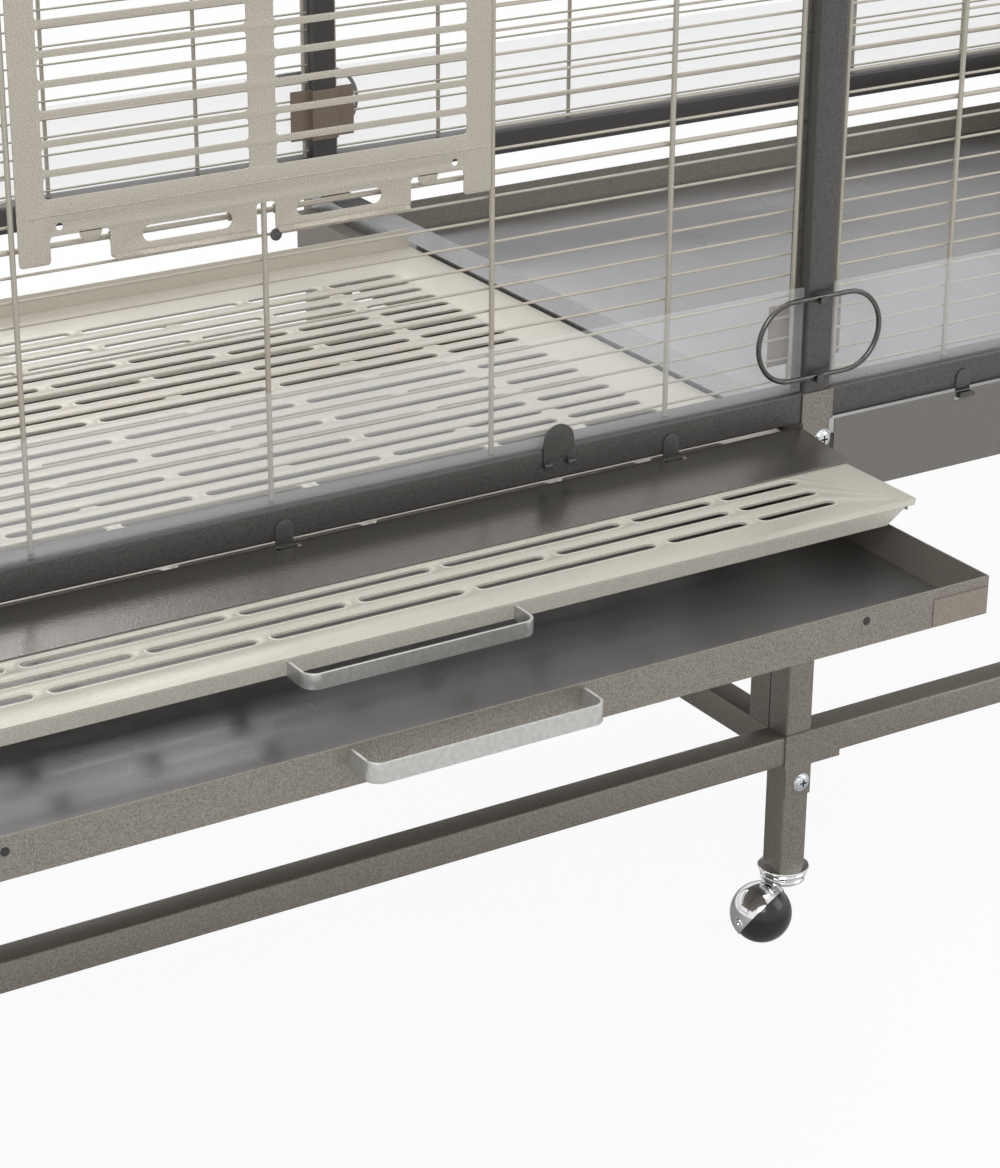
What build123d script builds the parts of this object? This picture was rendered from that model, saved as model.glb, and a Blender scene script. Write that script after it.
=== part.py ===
"""A double bird aviary on a wheeled stand, with trays, lifting flaps and fold-down doors.

Millimetres, +Z up, +Y to the back. The origin is on the floor, under the middle of the
whole aviary as it stands: one tray and one grate are pulled out of the left bay.
"""

import os
from math import acos, cos, degrees, pi, sqrt

from build123d import *

# Frame of square tube
bay_pitch = 920.0
cage_depth = 790.0
tube = 25.0
tube_wall = 1.2
leg_foot = 65.0
stand_rail_top = 187.0
floor_rail_top = 478.0
post_top = 1655.0
cap_thickness = 3.0
cap_plug = 18.0
plug_clearance = 0.1

# Wire mesh, measured inward from the outer faces of the posts
mesh_inset = 12.0
upright_wire = 4.0
row_wire = 2.2
row_pitch = 16.5
first_row = 7.1
edge_upright = 4.0
right_edge_upright = 12.0
near_upright = 131.0
right_near_upright = 134.6
side_uprights = 5
roof_inset = 12.0

# Fold-down door in each bay
door_offset = 1.5
door_width = 352.0
door_edge_gap = 1.0
door_rise = 369.0
hinge_row = 12
top_row = 34
rod_diameter = 4.0
rod_fit = 0.1
door_sheet = 1.0
door_gap = 0.6
window_rows = 16
window_height = 14.3
window_pitch = 19.0
window_bar = 20.0
window_margin = 19.5
first_window = 32.5
lip_half_width = 112.0
lip_drop = 12.5
foot_width = 22.0
foot_drop = 10.0
door_skirt = 8.0
notch_width = 14.0
peep_length = 65.0
peep_height = 11.0
peep_start = 24.0
knuckle_sheet = 1.2
knuckle_width = 12.0
knuckle_spots = (17.0, 103.0)
catch_width = 24.0
catch_spot = 70.0
catch_sheet = 1.5
catch_gap = 0.5
catch_overlap = 1.0

# Clear strips that keep seed inside, and their clips
guard_height = 81.7
guard_thickness = 3.0
guard_inset = 3.5
guard_end_gap = 1.0
clip_width = 26.0
clip_sheet = 1.2
clip_rise = 17.5
clip_drop = 8.0
clip_foot_drop = 6.0
clip_foot_width = 6.0
clip_spot = 234.0

# Feeder ring and the clamp behind the centre posts
ring_length = 117.0
ring_height = 66.0
ring_wire = 4.0
ring_offset = 5.0
ring_level = 45.0
ring_gap = 4.0
lug_width = 6.0
lug_sheet = 2.0
lug_fit = 0.3
clamp_half_width = 34.0
clamp_sheet = 1.2
clamp_base = 18.0
clamp_height = 48.0
clamp_gap = 0.3

# Brackets and screws
bracket_sheet = 1.5
bracket_rise = 24.0
bracket_tongue = 19.0
bracket_reach = 2.5
bracket_lap = 1.5
stand_bracket_reach = 28.5
stand_bracket_height = 30.0
stand_bracket_tongue = 26.0
screw_head = 9.0
screw_height = 2.0
screw_offset = 7.0
screw_rise = 4.0

# Runners that carry the grate and the tray
sheet = 1.0
runner_sheet = 1.2
grate_drop = 35.0
grate_flange = 12.0
tray_drop = 55.0
tray_height = 29.0
seat_gap = 0.3
runner_rise = 3.0
runner_half_width = 16.0
beam_half_width = 33.0
ledge_width = 15.0
grate_side_gap = 3.0
tray_side_gap = 2.0
outer_grate_gap = 6.5
outer_beam_width = 20.5

# Grate
grate_depth = 728.0
grate_pulled = 153.0
grate_stop = 17.0
grate_corner = 16.0
slot_width = 10.0
slot_module = 78.4
slot_bridge = 8.0
slot_pitch = 24.0
slot_start = 26.0
slot_end = 90.0

# Trays
tray_depth = 725.0
tray_sheet = 1.2
tray_pulled = 247.0
tray_parked = 36.0
badge_width = 48.0
badge_height = 20.0
badge_thickness = 0.8

# Handles bent from flat strip
handle_length = 174.0
handle_reach = 28.0
handle_strip = 2.0
handle_radius = 10.0
grate_handle_height = 11.0
tray_handle_height = 14.0
grate_handle_drop = 37.0
grate_handle_shift = 7.0
tray_handle_drop = 58.0

# Flaps hung on hooks in front of the drawers
flap_height = 62.5
flap_sheet = 1.0
flap_gap = 3.1
flap_side_gap = 3.0
flap_strip = 4.0
flap_slot = 3.6
flap_slot_width = 20.0
hook_sheet = 1.2
hook_width = 14.0
hook_rise = 16.0
hook_reach = 7.0
hook_tip = 3.3
hook_fit = 0.3
left_hooks = (134.6, 459.0, 787.0)
right_hooks = (144.0, 460.0, 776.0)

# Casters
ball_radius = 25.0
ball_tread = 20.0
ball_half_width = 21.0
ball_taper = 30.0
axle_radius = 3.0
axle_clearance = 0.2
ball_clearance = 1.0
hood_sheet = 1.6
hood_cheek = 1.5
hood_drop = 6.0
caster_trail = 20.0
collar_radius = 8.0
stem_radius = 5.0
stem_clearance = 0.2
stem_depth = 22.0
flange_radius = 26.0
flange_thickness = 2.5
ball_sides = 12

# Places that follow from the sizes
tube_bore = tube - 2 * tube_wall
half_tube = tube / 2
front_reach = tray_pulled + handle_reach
rear_reach = cage_depth + max(ring_gap + ring_wire + lug_fit + lug_sheet, flange_radius - half_tube)
front_face = (front_reach - rear_reach) / 2
rear_face = front_face + cage_depth
cage_middle = (front_face + rear_face) / 2
inner_front = front_face + tube
inner_rear = rear_face - tube
inner_depth = inner_rear - inner_front
rail_length = bay_pitch - tube
floor_rail_base = floor_rail_top - tube
roof_rail_base = post_top - tube
outer_x = bay_pitch + half_tube
door_x = bay_pitch / 2 + door_offset
opening_half = door_width / 2 + door_edge_gap + upright_wire / 2
row_depth = mesh_inset + upright_wire
row_middle = row_depth + row_wire / sqrt(12)
rod_z = floor_rail_top + first_row + hinge_row * row_pitch
rod_y = front_face + row_depth + rod_diameter / 2
row_count = int((roof_rail_base - floor_rail_top - first_row - row_wire) // row_pitch) + 1
grate_top = floor_rail_top - grate_drop
grate_base = grate_top - grate_flange
tray_top = floor_rail_top - tray_drop
tray_base = tray_top - tray_height
grate_seat = grate_base - seat_gap
tray_seat = tray_base - seat_gap
runner_top = grate_top + runner_rise
grate_inner = runner_half_width + grate_side_gap
grate_outer = bay_pitch - half_tube - outer_grate_gap
tray_inner = beam_half_width + tray_side_gap
beam_outer = bay_pitch - half_tube - outer_beam_width
tray_outer = beam_outer - tray_side_gap
flap_axis_y = front_face - flap_gap - flap_sheet / 2
flap_axis_z = floor_rail_base - flap_strip / 2
flap_inner = half_tube + flap_side_gap
flap_outer = bay_pitch - half_tube - flap_side_gap
flap_swing = flap_height - flap_strip / 2
flap_lift = degrees(acos((flap_axis_z - grate_top - seat_gap - flap_sheet / 2) / flap_swing))

post_places = (-bay_pitch, 0.0, bay_pitch)
bays = ((-1, "left"), (1, "right"))
ends = ((-1, "front"), (1, "rear"))
left_uprights = (
    half_tube + edge_upright,
    near_upright,
    door_x - opening_half,
    door_x + opening_half,
    bay_pitch - near_upright,
    bay_pitch - half_tube - edge_upright + 1.0,
)
right_uprights = (half_tube + right_edge_upright, right_near_upright, *left_uprights[2:])

os.makedirs("parts", exist_ok=True)


def front_view(y: float) -> Plane:
    """The upright plane at y, seen from the front: local x is X, local y is Z, out is -Y."""
    return Plane(origin=(0, y, 0), x_dir=(1, 0, 0), z_dir=(0, -1, 0))


def side_view(x: float) -> Plane:
    """The upright plane at x, seen from the right: local x is Y, local y is Z, out is +X."""
    return Plane(origin=(x, 0, 0), x_dir=(0, 1, 0), z_dir=(1, 0, 0))


def plan_view(z: float) -> Plane:
    """The level plane at z, seen from above."""
    return Plane.XY.offset(z)


def inset(end: int, depth: float) -> float:
    """The Y that lies depth inside the front face (end -1) or the rear face (end 1)."""
    return front_face + depth if end < 0 else rear_face - depth


def save(piece: BuildPart, name: str) -> None:
    """Labels a finished piece and writes it to its STEP file."""
    piece.part.label = name
    export_step(piece.part, f"parts/{name}.step")


def square_tubes(plane: Plane, spots: list, length: float) -> None:
    """Adds a square tube at each spot of the plane, along the plane's normal."""
    with BuildSketch(plane) as section:
        with Locations(*spots):
            Rectangle(tube, tube)
            Rectangle(tube_bore, tube_bore, mode=Mode.SUBTRACT)
    extrude(section.sketch, amount=length)


def box_between(low: tuple, high: tuple) -> None:
    """Adds a block between two opposite corners."""
    width, depth, height = (b - a for a, b in zip(low, high))
    with BuildSketch(Plane(origin=low)) as base:
        Rectangle(width, depth, align=(Align.MIN, Align.MIN))
    extrude(base.sketch, amount=height)


def row_section(spots: list, turn: float) -> None:
    """Draws three-sided level wires, one flat turned towards the uprights they are welded to."""
    with Locations(*spots):
        RegularPolygon(row_wire / sqrt(3), 3, rotation=turn)


def mesh_rows(start: float, length: float, first: int, last: int, end: int) -> None:
    """Adds the level wires of the rows first to last, along X, in the front or rear mesh."""
    heights = [floor_rail_top + first_row + row * row_pitch for row in range(first, last + 1)]
    with BuildSketch(side_view(start)) as section:
        row_section([(inset(end, row_middle), z) for z in heights], turn=90 + end * 90)
    extrude(section.sketch, amount=length)


# Legs of the stand and posts of the cage
post_spots = [(x, y) for x in post_places for y in (inset(-1, half_tube), inset(1, half_tube))]

with BuildPart() as legs:
    square_tubes(plan_view(leg_foot), post_spots, floor_rail_base - leg_foot)
save(legs, "legs")

with BuildPart() as cage_posts:
    square_tubes(plan_view(floor_rail_base), post_spots, post_top - floor_rail_base)
save(cage_posts, "cage_posts")

with BuildPart() as post_caps:
    with BuildSketch(plan_view(post_top)):
        with Locations(*post_spots):
            Rectangle(tube, tube)
    extrude(amount=cap_thickness)
    with BuildSketch(plan_view(post_top)):
        with Locations(*post_spots):
            Rectangle(tube_bore - 2 * plug_clearance, tube_bore - 2 * plug_clearance)
    extrude(amount=-cap_plug)
save(post_caps, "post_caps")

# Rails from post to post
rail_starts = (-bay_pitch + half_tube, half_tube)


def front_and_rear_rails(top: float) -> None:
    """Adds the rails of both bays, front and rear, with their upper faces at top."""
    spots = [(inset(end, half_tube), top - half_tube) for end, _ in ends]
    for start in rail_starts:
        square_tubes(side_view(start), spots, rail_length)


def cross_rails(top: float, places: tuple) -> None:
    """Adds rails from front to rear, with their upper faces at top."""
    spots = [(x, top - half_tube) for x in places]
    square_tubes(front_view(inner_rear), spots, inner_depth)


with BuildPart() as stand_rails:
    front_and_rear_rails(stand_rail_top)
save(stand_rails, "stand_rails")

with BuildPart() as stand_cross_rails:
    cross_rails(stand_rail_top, post_places)
save(stand_cross_rails, "stand_cross_rails")

with BuildPart() as floor_rails:
    front_and_rear_rails(floor_rail_top)
save(floor_rails, "floor_rails")

with BuildPart() as floor_side_rails:
    cross_rails(floor_rail_top, (post_places[0], post_places[2]))
save(floor_side_rails, "floor_side_rails")

with BuildPart() as roof_rails:
    front_and_rear_rails(post_top)
save(roof_rails, "roof_rails")

with BuildPart() as roof_cross_rails:
    cross_rails(post_top, post_places)
save(roof_cross_rails, "roof_cross_rails")

# Short tubes that stand behind the centre legs and carry the centre runner
runner_foot_spots = [(0, inset(end, tube + half_tube)) for end, _ in ends]

with BuildPart() as runner_feet:
    foot_height = runner_top - runner_sheet - stand_rail_top
    square_tubes(plan_view(stand_rail_top), runner_foot_spots, foot_height)
save(runner_feet, "runner_feet")


# Brackets that tie the rails to the posts, with one screw each
bracket_ways = (1, 1, -1)


def brackets(top: float, height: float, reach: float, tongue: float) -> None:
    """Adds the six brackets: a plate that laps the post and the rail, and a tongue below."""
    low = top - height
    for end, _ in ends:
        for x, out in zip(post_places, bracket_ways):
            near_edge = x - out * half_tube
            far_edge = x + out * half_tube
            with BuildSketch(front_view(inset(end, 0))) as plate:
                with BuildLine():
                    Polyline(
                        (near_edge - out * bracket_lap, top),
                        (far_edge + out * reach, top),
                        (far_edge + out * reach, low),
                        (far_edge, low),
                        (far_edge, low - tongue),
                        (near_edge, low - tongue),
                        (near_edge, low),
                        (near_edge - out * bracket_lap, low),
                        close=True,
                    )
                make_face()
            extrude(plate.sketch, amount=-end * bracket_sheet)


def screws(level: float) -> None:
    """Adds a six-sided screw head on each bracket's tongue."""
    for end, _ in ends:
        for x, out in zip(post_places, bracket_ways):
            with BuildSketch(front_view(inset(end, -bracket_sheet))) as head:
                with Locations((x + out * screw_offset, level)):
                    RegularPolygon(screw_head / 2, 6)
            extrude(head.sketch, amount=-end * screw_height)


with BuildPart() as rail_brackets:
    brackets(floor_rail_top - sheet, bracket_rise, bracket_reach, bracket_tongue)
    brackets(
        stand_rail_top + bracket_sheet,
        stand_bracket_height,
        stand_bracket_reach,
        stand_bracket_tongue,
    )
save(rail_brackets, "rail_brackets")

with BuildPart() as bracket_screws:
    cage_tongue_end = floor_rail_top - sheet - bracket_rise - bracket_tongue
    stand_tongue_end = stand_rail_top + bracket_sheet - stand_bracket_height - stand_bracket_tongue
    screws(cage_tongue_end + screw_rise)
    screws(stand_tongue_end + 3 * screw_rise)
save(bracket_screws, "bracket_screws")

# Centre runner: a channel between the two grates, on a wider beam that carries them
with BuildPart() as centre_runner:
    with BuildSketch(front_view(inner_rear)):
        with Locations((0, (runner_top + grate_seat) / 2)):
            Rectangle(2 * runner_half_width, runner_top - grate_seat)
        with Locations((0, grate_seat)):
            Rectangle(
                2 * (runner_half_width - runner_sheet),
                runner_top - grate_seat - runner_sheet,
                align=(Align.CENTER, Align.MIN),
                mode=Mode.SUBTRACT,
            )
    extrude(amount=inner_depth)
save(centre_runner, "centre_runner")

beam_foot = tray_seat - runner_sheet

with BuildPart() as centre_beam:
    with BuildSketch(front_view(inner_rear)):
        with Locations((0, beam_foot)):
            Rectangle(
                2 * beam_half_width,
                grate_seat - beam_foot,
                align=(Align.CENTER, Align.MIN),
            )
            Rectangle(
                2 * (beam_half_width - runner_sheet),
                grate_seat - beam_foot - runner_sheet,
                align=(Align.CENTER, Align.MIN),
                mode=Mode.SUBTRACT,
            )
        with Locations((0, grate_seat)):
            Rectangle(
                tube + 2 * plug_clearance,
                4 * runner_sheet,
                mode=Mode.SUBTRACT,
            )
    extrude(amount=inner_depth)
save(centre_beam, "centre_beam")

# Outer runners: a channel under each side rail, whose upper face carries the grate
with BuildPart() as side_beams:
    for side, _ in bays:
        rail_inner = side * (bay_pitch - half_tube)
        beam_middle = (rail_inner + side * beam_outer) / 2
        with BuildSketch(front_view(inner_rear)) as channel:
            with Locations((beam_middle, beam_foot)):
                Rectangle(outer_beam_width, grate_seat - beam_foot, align=(Align.CENTER, Align.MIN))
                Rectangle(
                    outer_beam_width - 2 * runner_sheet,
                    grate_seat - beam_foot - runner_sheet,
                    align=(Align.CENTER, Align.MIN),
                    mode=Mode.SUBTRACT,
                )
        extrude(channel.sketch, amount=inner_depth)
save(side_beams, "side_beams")

with BuildPart() as side_hangers:
    for side, _ in bays:
        hanger_x = side * (bay_pitch - half_tube + runner_sheet / 2)
        with BuildSketch(front_view(inner_rear)) as hanger:
            with Locations((hanger_x, beam_foot)):
                Rectangle(runner_sheet, floor_rail_base - beam_foot, align=(Align.CENTER, Align.MIN))
        extrude(hanger.sketch, amount=inner_depth)
save(side_hangers, "side_hangers")

with BuildPart() as tray_ledges:
    for side, _ in bays:
        ledge_spots = (
            side * (beam_half_width + ledge_width / 2),
            side * (beam_outer - ledge_width / 2),
        )
        with BuildSketch(front_view(inner_rear)) as strips:
            with Locations(*[(x, tray_seat - runner_sheet / 2) for x in ledge_spots]):
                Rectangle(ledge_width, runner_sheet)
        extrude(strips.sketch, amount=inner_depth)
save(tray_ledges, "tray_ledges")

# Level wires of the mesh. The front rows stop at the door opening

half_upright = upright_wire / 2
full_spans = []
split_spans = []
for side, uprights in ((-1, left_uprights), (1, right_uprights)):
    near, opening_near, opening_far, far = (uprights[i] for i in (0, 2, 3, 5))
    near_span = sorted((side * (near - half_upright), side * (opening_near + half_upright)))
    far_span = sorted((side * (opening_far - half_upright), side * (far + half_upright)))
    full_spans.append(sorted((side * (near - half_upright), side * (far + half_upright))))
    split_spans += [near_span, far_span]

with BuildPart() as front_rows:
    for start, end in full_spans:
        mesh_rows(start, end - start, 0, hinge_row - 1, -1)
        mesh_rows(start, end - start, top_row, row_count - 1, -1)
    for start, end in split_spans:
        mesh_rows(start, end - start, hinge_row + 1, top_row - 1, -1)
save(front_rows, "front_rows")

# Rods that replace one row and carry the doors
with BuildPart() as hinge_rods:
    for start, end in full_spans:
        with BuildSketch(side_view(start)) as rod:
            with Locations((rod_y, rod_z)):
                Circle(rod_diameter / 2)
        extrude(rod.sketch, amount=end - start)
save(hinge_rods, "hinge_rods")

rear_start = half_tube + edge_upright - upright_wire / 2
rear_end = bay_pitch - half_tube - edge_upright + 1.0 + upright_wire / 2

with BuildPart() as rear_rows:
    for start in (-rear_end, rear_start):
        mesh_rows(start, rear_end - rear_start, 0, row_count - 1, 1)
save(rear_rows, "rear_rows")

side_start = inset(-1, tube + edge_upright - upright_wire / 2)
side_end = inset(1, tube + edge_upright - upright_wire / 2)

row_heights = [floor_rail_top + first_row + row * row_pitch for row in range(row_count)]
side_row_x = outer_x - row_middle

with BuildPart() as side_rows:
    with BuildSketch(front_view(side_end)):
        for side, _ in bays:
            row_section([(side * side_row_x, z) for z in row_heights], turn=90 + side * 90)
    extrude(amount=side_end - side_start)
save(side_rows, "side_rows")

roof_row_count = int((side_end - side_start - row_wire) // row_pitch) + 1

with BuildPart() as roof_rows:
    roof_row_z = post_top - roof_inset - row_middle + mesh_inset
    roof_row_start = (side_start + side_end - (roof_row_count - 1) * row_pitch) / 2
    for start in (-rear_end, rear_start):
        row_places = [roof_row_start + row * row_pitch for row in range(roof_row_count)]
        with BuildSketch(side_view(start)) as section:
            row_section([(y, roof_row_z) for y in row_places], turn=-90)
        extrude(section.sketch, amount=rear_end - rear_start)
save(roof_rows, "roof_rows")

# Upright wires, from rail to rail, and the cross wires of the roof
upright_middle = mesh_inset + upright_wire / 2
upright_length = roof_rail_base - floor_rail_top

with BuildPart() as uprights_all:
    with BuildSketch(plan_view(floor_rail_top)):
        for side, places in ((-1, left_uprights), (1, right_uprights)):
            for x in places:
                with Locations((side * x, inset(-1, upright_middle))):
                    Rectangle(upright_wire, upright_wire)
            for x in left_uprights:
                with Locations((side * x, inset(1, upright_middle))):
                    Rectangle(upright_wire, upright_wire)
            step = (side_end - side_start - upright_wire) / (side_uprights - 1)
            for index in range(side_uprights):
                upright_y = side_start + upright_wire / 2 + index * step
                with Locations((side * (outer_x - upright_middle), upright_y)):
                    Rectangle(upright_wire, upright_wire)
    extrude(amount=upright_length)
    # The middle wires of the front stop under the door and start again above it
    door_middle = bay_pitch / 2 + 0.5
    low_end = rod_z + door_skirt - sheet
    high_start = floor_rail_top + first_row + top_row * row_pitch - row_wire / 2
    with BuildSketch(plan_view(floor_rail_top)):
        with Locations(*[(side * door_middle, inset(-1, upright_middle)) for side, _ in bays]):
            Rectangle(upright_wire, upright_wire)
    extrude(amount=low_end - floor_rail_top)
    with BuildSketch(plan_view(high_start)):
        with Locations(*[(side * door_middle, inset(-1, upright_middle)) for side, _ in bays]):
            Rectangle(upright_wire, upright_wire)
    extrude(amount=roof_rail_base - high_start)
save(uprights_all, "mesh_uprights")

with BuildPart() as roof_cross_wires:
    with BuildSketch(front_view(inner_rear)):
        for side, _ in bays:
            for x in left_uprights:
                with Locations((side * x, post_top - roof_inset - upright_wire / 2)):
                    Rectangle(upright_wire, upright_wire)
    extrude(amount=inner_depth)
save(roof_cross_wires, "roof_cross_wires")


# Doors: a sheet with two columns of windows, hung on the rod by four knuckles
door_back = mesh_inset - door_gap
door_face_y = inset(-1, door_back)
skirt_z = rod_z + door_skirt
top_row_z = floor_rail_top + first_row + top_row * row_pitch
door_top_z = rod_z + door_rise


def door_outline(middle: float) -> None:
    """Draws the door's sheet with its lip, feet, notch, peep slots and windows."""
    window_width = (door_width - window_bar) / 2 - window_margin
    window_x = (window_bar + window_width) / 2
    with Locations((middle, skirt_z)):
        Rectangle(door_width, door_top_z - skirt_z, align=(Align.CENTER, Align.MIN))
        Rectangle(2 * lip_half_width, door_skirt + lip_drop, align=(Align.CENTER, Align.MAX))
    for way in (-1, 1):
        foot_x = middle + way * (door_width - foot_width) / 2
        with Locations((foot_x, skirt_z)):
            Rectangle(foot_width, door_skirt + foot_drop, align=(Align.CENTER, Align.MAX))
        with Locations((middle + way * (peep_start + peep_length / 2), rod_z)):
            Rectangle(peep_length, peep_height, mode=Mode.SUBTRACT)
        window_levels = [rod_z + first_window + row * window_pitch for row in range(window_rows)]
        with Locations(*[(middle + way * window_x, z) for z in window_levels]):
            Rectangle(
                window_width,
                window_height,
                align=(Align.CENTER, Align.MIN),
                mode=Mode.SUBTRACT,
            )


def knuckle_outline() -> None:
    """Draws a knuckle from the side: an arm over the rod and a half ring behind it."""
    inner = rod_diameter / 2 + rod_fit
    outer = inner + knuckle_sheet
    with Locations((rod_y, rod_z)):
        RegularPolygon(outer, 8, major_radius=False, rotation=22.5)
        RegularPolygon(inner, 8, major_radius=False, rotation=22.5, mode=Mode.SUBTRACT)
        Rectangle(outer, 2 * outer, align=(Align.MAX, Align.CENTER), mode=Mode.SUBTRACT)
    with Locations((rod_y, rod_z + inner)):
        arm = rod_y - door_face_y
        Rectangle(arm, knuckle_sheet, align=(Align.MAX, Align.MIN))


for side, hand in bays:
    middle = side * door_x
    notch_x = side * door_middle
    with BuildPart() as door:
        with BuildSketch(front_view(door_face_y)):
            door_outline(middle)
            with Locations((notch_x, skirt_z)):
                Rectangle(
                    notch_width,
                    door_skirt + lip_drop,
                    align=(Align.CENTER, Align.MAX),
                    mode=Mode.SUBTRACT,
                )
        extrude(amount=door_sheet)
    save(door, f"door_{hand}")

    with BuildPart() as knuckles:
        for way in (-1, 1):
            for spot in knuckle_spots:
                with BuildSketch(side_view(middle + way * spot - knuckle_width / 2)) as loop:
                    knuckle_outline()
                extrude(loop.sketch, amount=knuckle_width)
    save(knuckles, f"door_knuckles_{hand}")

    # Spring catches: pairs of prongs that grip the first full row above the opening
    with BuildPart() as catch:
        prong_rise = row_wire / 2 + catch_gap + catch_sheet / 2
        prong_depth = row_depth + row_wire + catch_overlap
        with BuildSketch(front_view(inset(-1, prong_depth))):
            with Locations((middle, top_row_z)):
                with GridLocations(2 * catch_spot, 2 * prong_rise, 2, 2):
                    Rectangle(catch_width, catch_sheet)
        extrude(amount=prong_depth - door_back)
    save(catch, f"door_catch_{hand}")


# Clear strips along the foot of every mesh panel
with BuildPart() as seed_guards:
    for side, _ in bays:
        for end, _ in ends:
            long_y = inset(end, guard_inset + guard_thickness / 2)
            with BuildSketch(Plane(origin=(side * bay_pitch / 2, long_y, floor_rail_top))) as strip:
                Rectangle(rail_length - 2 * guard_end_gap, guard_thickness)
            extrude(strip.sketch, amount=guard_height)
        short_x = side * (outer_x - guard_inset - guard_thickness / 2)
        with BuildSketch(Plane(origin=(short_x, cage_middle, floor_rail_top))) as strip:
            Rectangle(guard_thickness, inner_depth - 2 * guard_end_gap)
        extrude(strip.sketch, amount=guard_height)
save(seed_guards, "seed_guards")

# Clips in front of the strips: a tab with a round top and two feet
with BuildPart() as guard_clips:
    for side, _ in bays:
        for spot in (clip_spot, bay_pitch - clip_spot):
            with BuildSketch(front_view(front_face)) as tab:
                with Locations((side * spot, floor_rail_top - clip_drop)):
                    Rectangle(
                        clip_width,
                        clip_rise + clip_drop,
                        align=(Align.CENTER, Align.MIN),
                    )
                top_corners = tab.vertices().group_by(Axis.Z)[-1]
                chamfer(top_corners, clip_width / 4)
                for way in (-1, 1):
                    foot_x = side * spot + way * (clip_width - clip_foot_width) / 2
                    with Locations((foot_x, floor_rail_top - clip_drop)):
                        Rectangle(
                            clip_foot_width,
                            clip_foot_drop,
                            align=(Align.CENTER, Align.MAX),
                        )
            extrude(tab.sketch, amount=clip_sheet)
save(guard_clips, "guard_clips")

# Feeder rings outside the centre posts, each hung between two lugs
ring_z = floor_rail_top + ring_level
ring_inner_top = ring_z + ring_height / 2 - ring_wire
ring_outer_base = ring_z - ring_height / 2

with BuildPart() as rings:
    for end, _ in ends:
        with BuildSketch(front_view(inset(end, -ring_gap))) as loop:
            with Locations((-ring_offset, ring_z)):
                SlotOverall(ring_length, ring_height)
                SlotOverall(
                    ring_length - 2 * ring_wire,
                    ring_height - 2 * ring_wire,
                    mode=Mode.SUBTRACT,
                )
        extrude(loop.sketch, amount=-end * ring_wire)
save(rings, "feeder_rings")

lug_reach = ring_gap + ring_wire + lug_fit


def lug(end: int, x: float, top: float, tip: float) -> None:
    """Adds a lug whose arm's upper face is at top, with an upturned tip."""
    arm_low = min(inset(end, 0), inset(end, -lug_reach))
    tip_low = min(inset(end, -lug_reach), inset(end, -lug_reach - lug_sheet))
    box_between(
        (x - lug_width / 2, arm_low, top - lug_sheet),
        (x + lug_width / 2, arm_low + lug_reach, top),
    )
    box_between(
        (x - lug_width / 2, tip_low, top - lug_sheet),
        (x + lug_width / 2, tip_low + lug_sheet, top + tip),
    )


with BuildPart() as ring_lugs:
    for end, _ in ends:
        lug(end, -ring_offset, ring_inner_top - lug_fit, ring_wire - 1)
        lug(end, -ring_offset, ring_outer_base - lug_fit, ring_wire)
save(ring_lugs, "ring_lugs")

# Clamps behind the centre posts that hold the mesh edges
clamp_front = row_depth + row_wire + clamp_gap
clamp_low = floor_rail_top + clamp_base

with BuildPart() as clamp_plates:
    for end, _ in ends:
        web_depth = tube + clamp_sheet / 2
        flange_depth = clamp_front + clamp_sheet / 2
        wall_length = tube + clamp_sheet - clamp_front
        flange_width = clamp_half_width - half_tube
        with BuildSketch(plan_view(clamp_low)) as hat:
            with Locations((0, inset(end, web_depth))):
                Rectangle(tube + 2 * clamp_sheet, clamp_sheet)
            for way in (-1, 1):
                wall_x = way * (half_tube + clamp_sheet / 2)
                with Locations((wall_x, inset(end, clamp_front + wall_length / 2))):
                    Rectangle(clamp_sheet, wall_length)
                flange_x = way * (half_tube + flange_width / 2)
                with Locations((flange_x, inset(end, flange_depth))):
                    Rectangle(flange_width, clamp_sheet)
        extrude(hat.sketch, amount=clamp_height)
save(clamp_plates, "clamp_plates")


# Grate, pulled out of the left bay: a slotted plate with folded edges
grate_front = front_face - grate_pulled
grate_back = grate_front + grate_depth
grate_width = grate_outer - grate_inner
grate_x = -(grate_outer + grate_inner) / 2
slot_patterns = ((1, 1, 2, 2, 2, 1, 1), (1, 2, 2, 2, 2, 1))
slot_rows = int((grate_depth - slot_start - slot_end) // slot_pitch) + 1


def slot_length(modules: int) -> float:
    """The length of a slot that spans a number of modules."""
    return modules * slot_module - slot_bridge


def slot_spots(modules: int) -> list:
    """The middles of all the slots of one length."""
    spots = []
    for row in range(slot_rows):
        pattern = slot_patterns[row % 2]
        x = grate_x + (sum(pattern) * slot_module - slot_bridge) / 2
        for span in pattern:
            if span == modules:
                spots.append((x - slot_length(span) / 2, grate_front + slot_start + row * slot_pitch))
            x -= span * slot_module
    return spots


with BuildPart() as grate_left:
    with BuildSketch(plan_view(grate_top - sheet)) as plate:
        with Locations((grate_x, grate_front)):
            Rectangle(grate_width, grate_depth, align=(Align.CENTER, Align.MIN))
        chamfer(plate.vertices().group_by(Axis.Y)[0], grate_corner / 2)
        for modules in (1, 2):
            with Locations(*slot_spots(modules)):
                Rectangle(slot_length(modules), slot_width, mode=Mode.SUBTRACT)
    extrude(amount=sheet)
save(grate_left, "grate_left")

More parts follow.
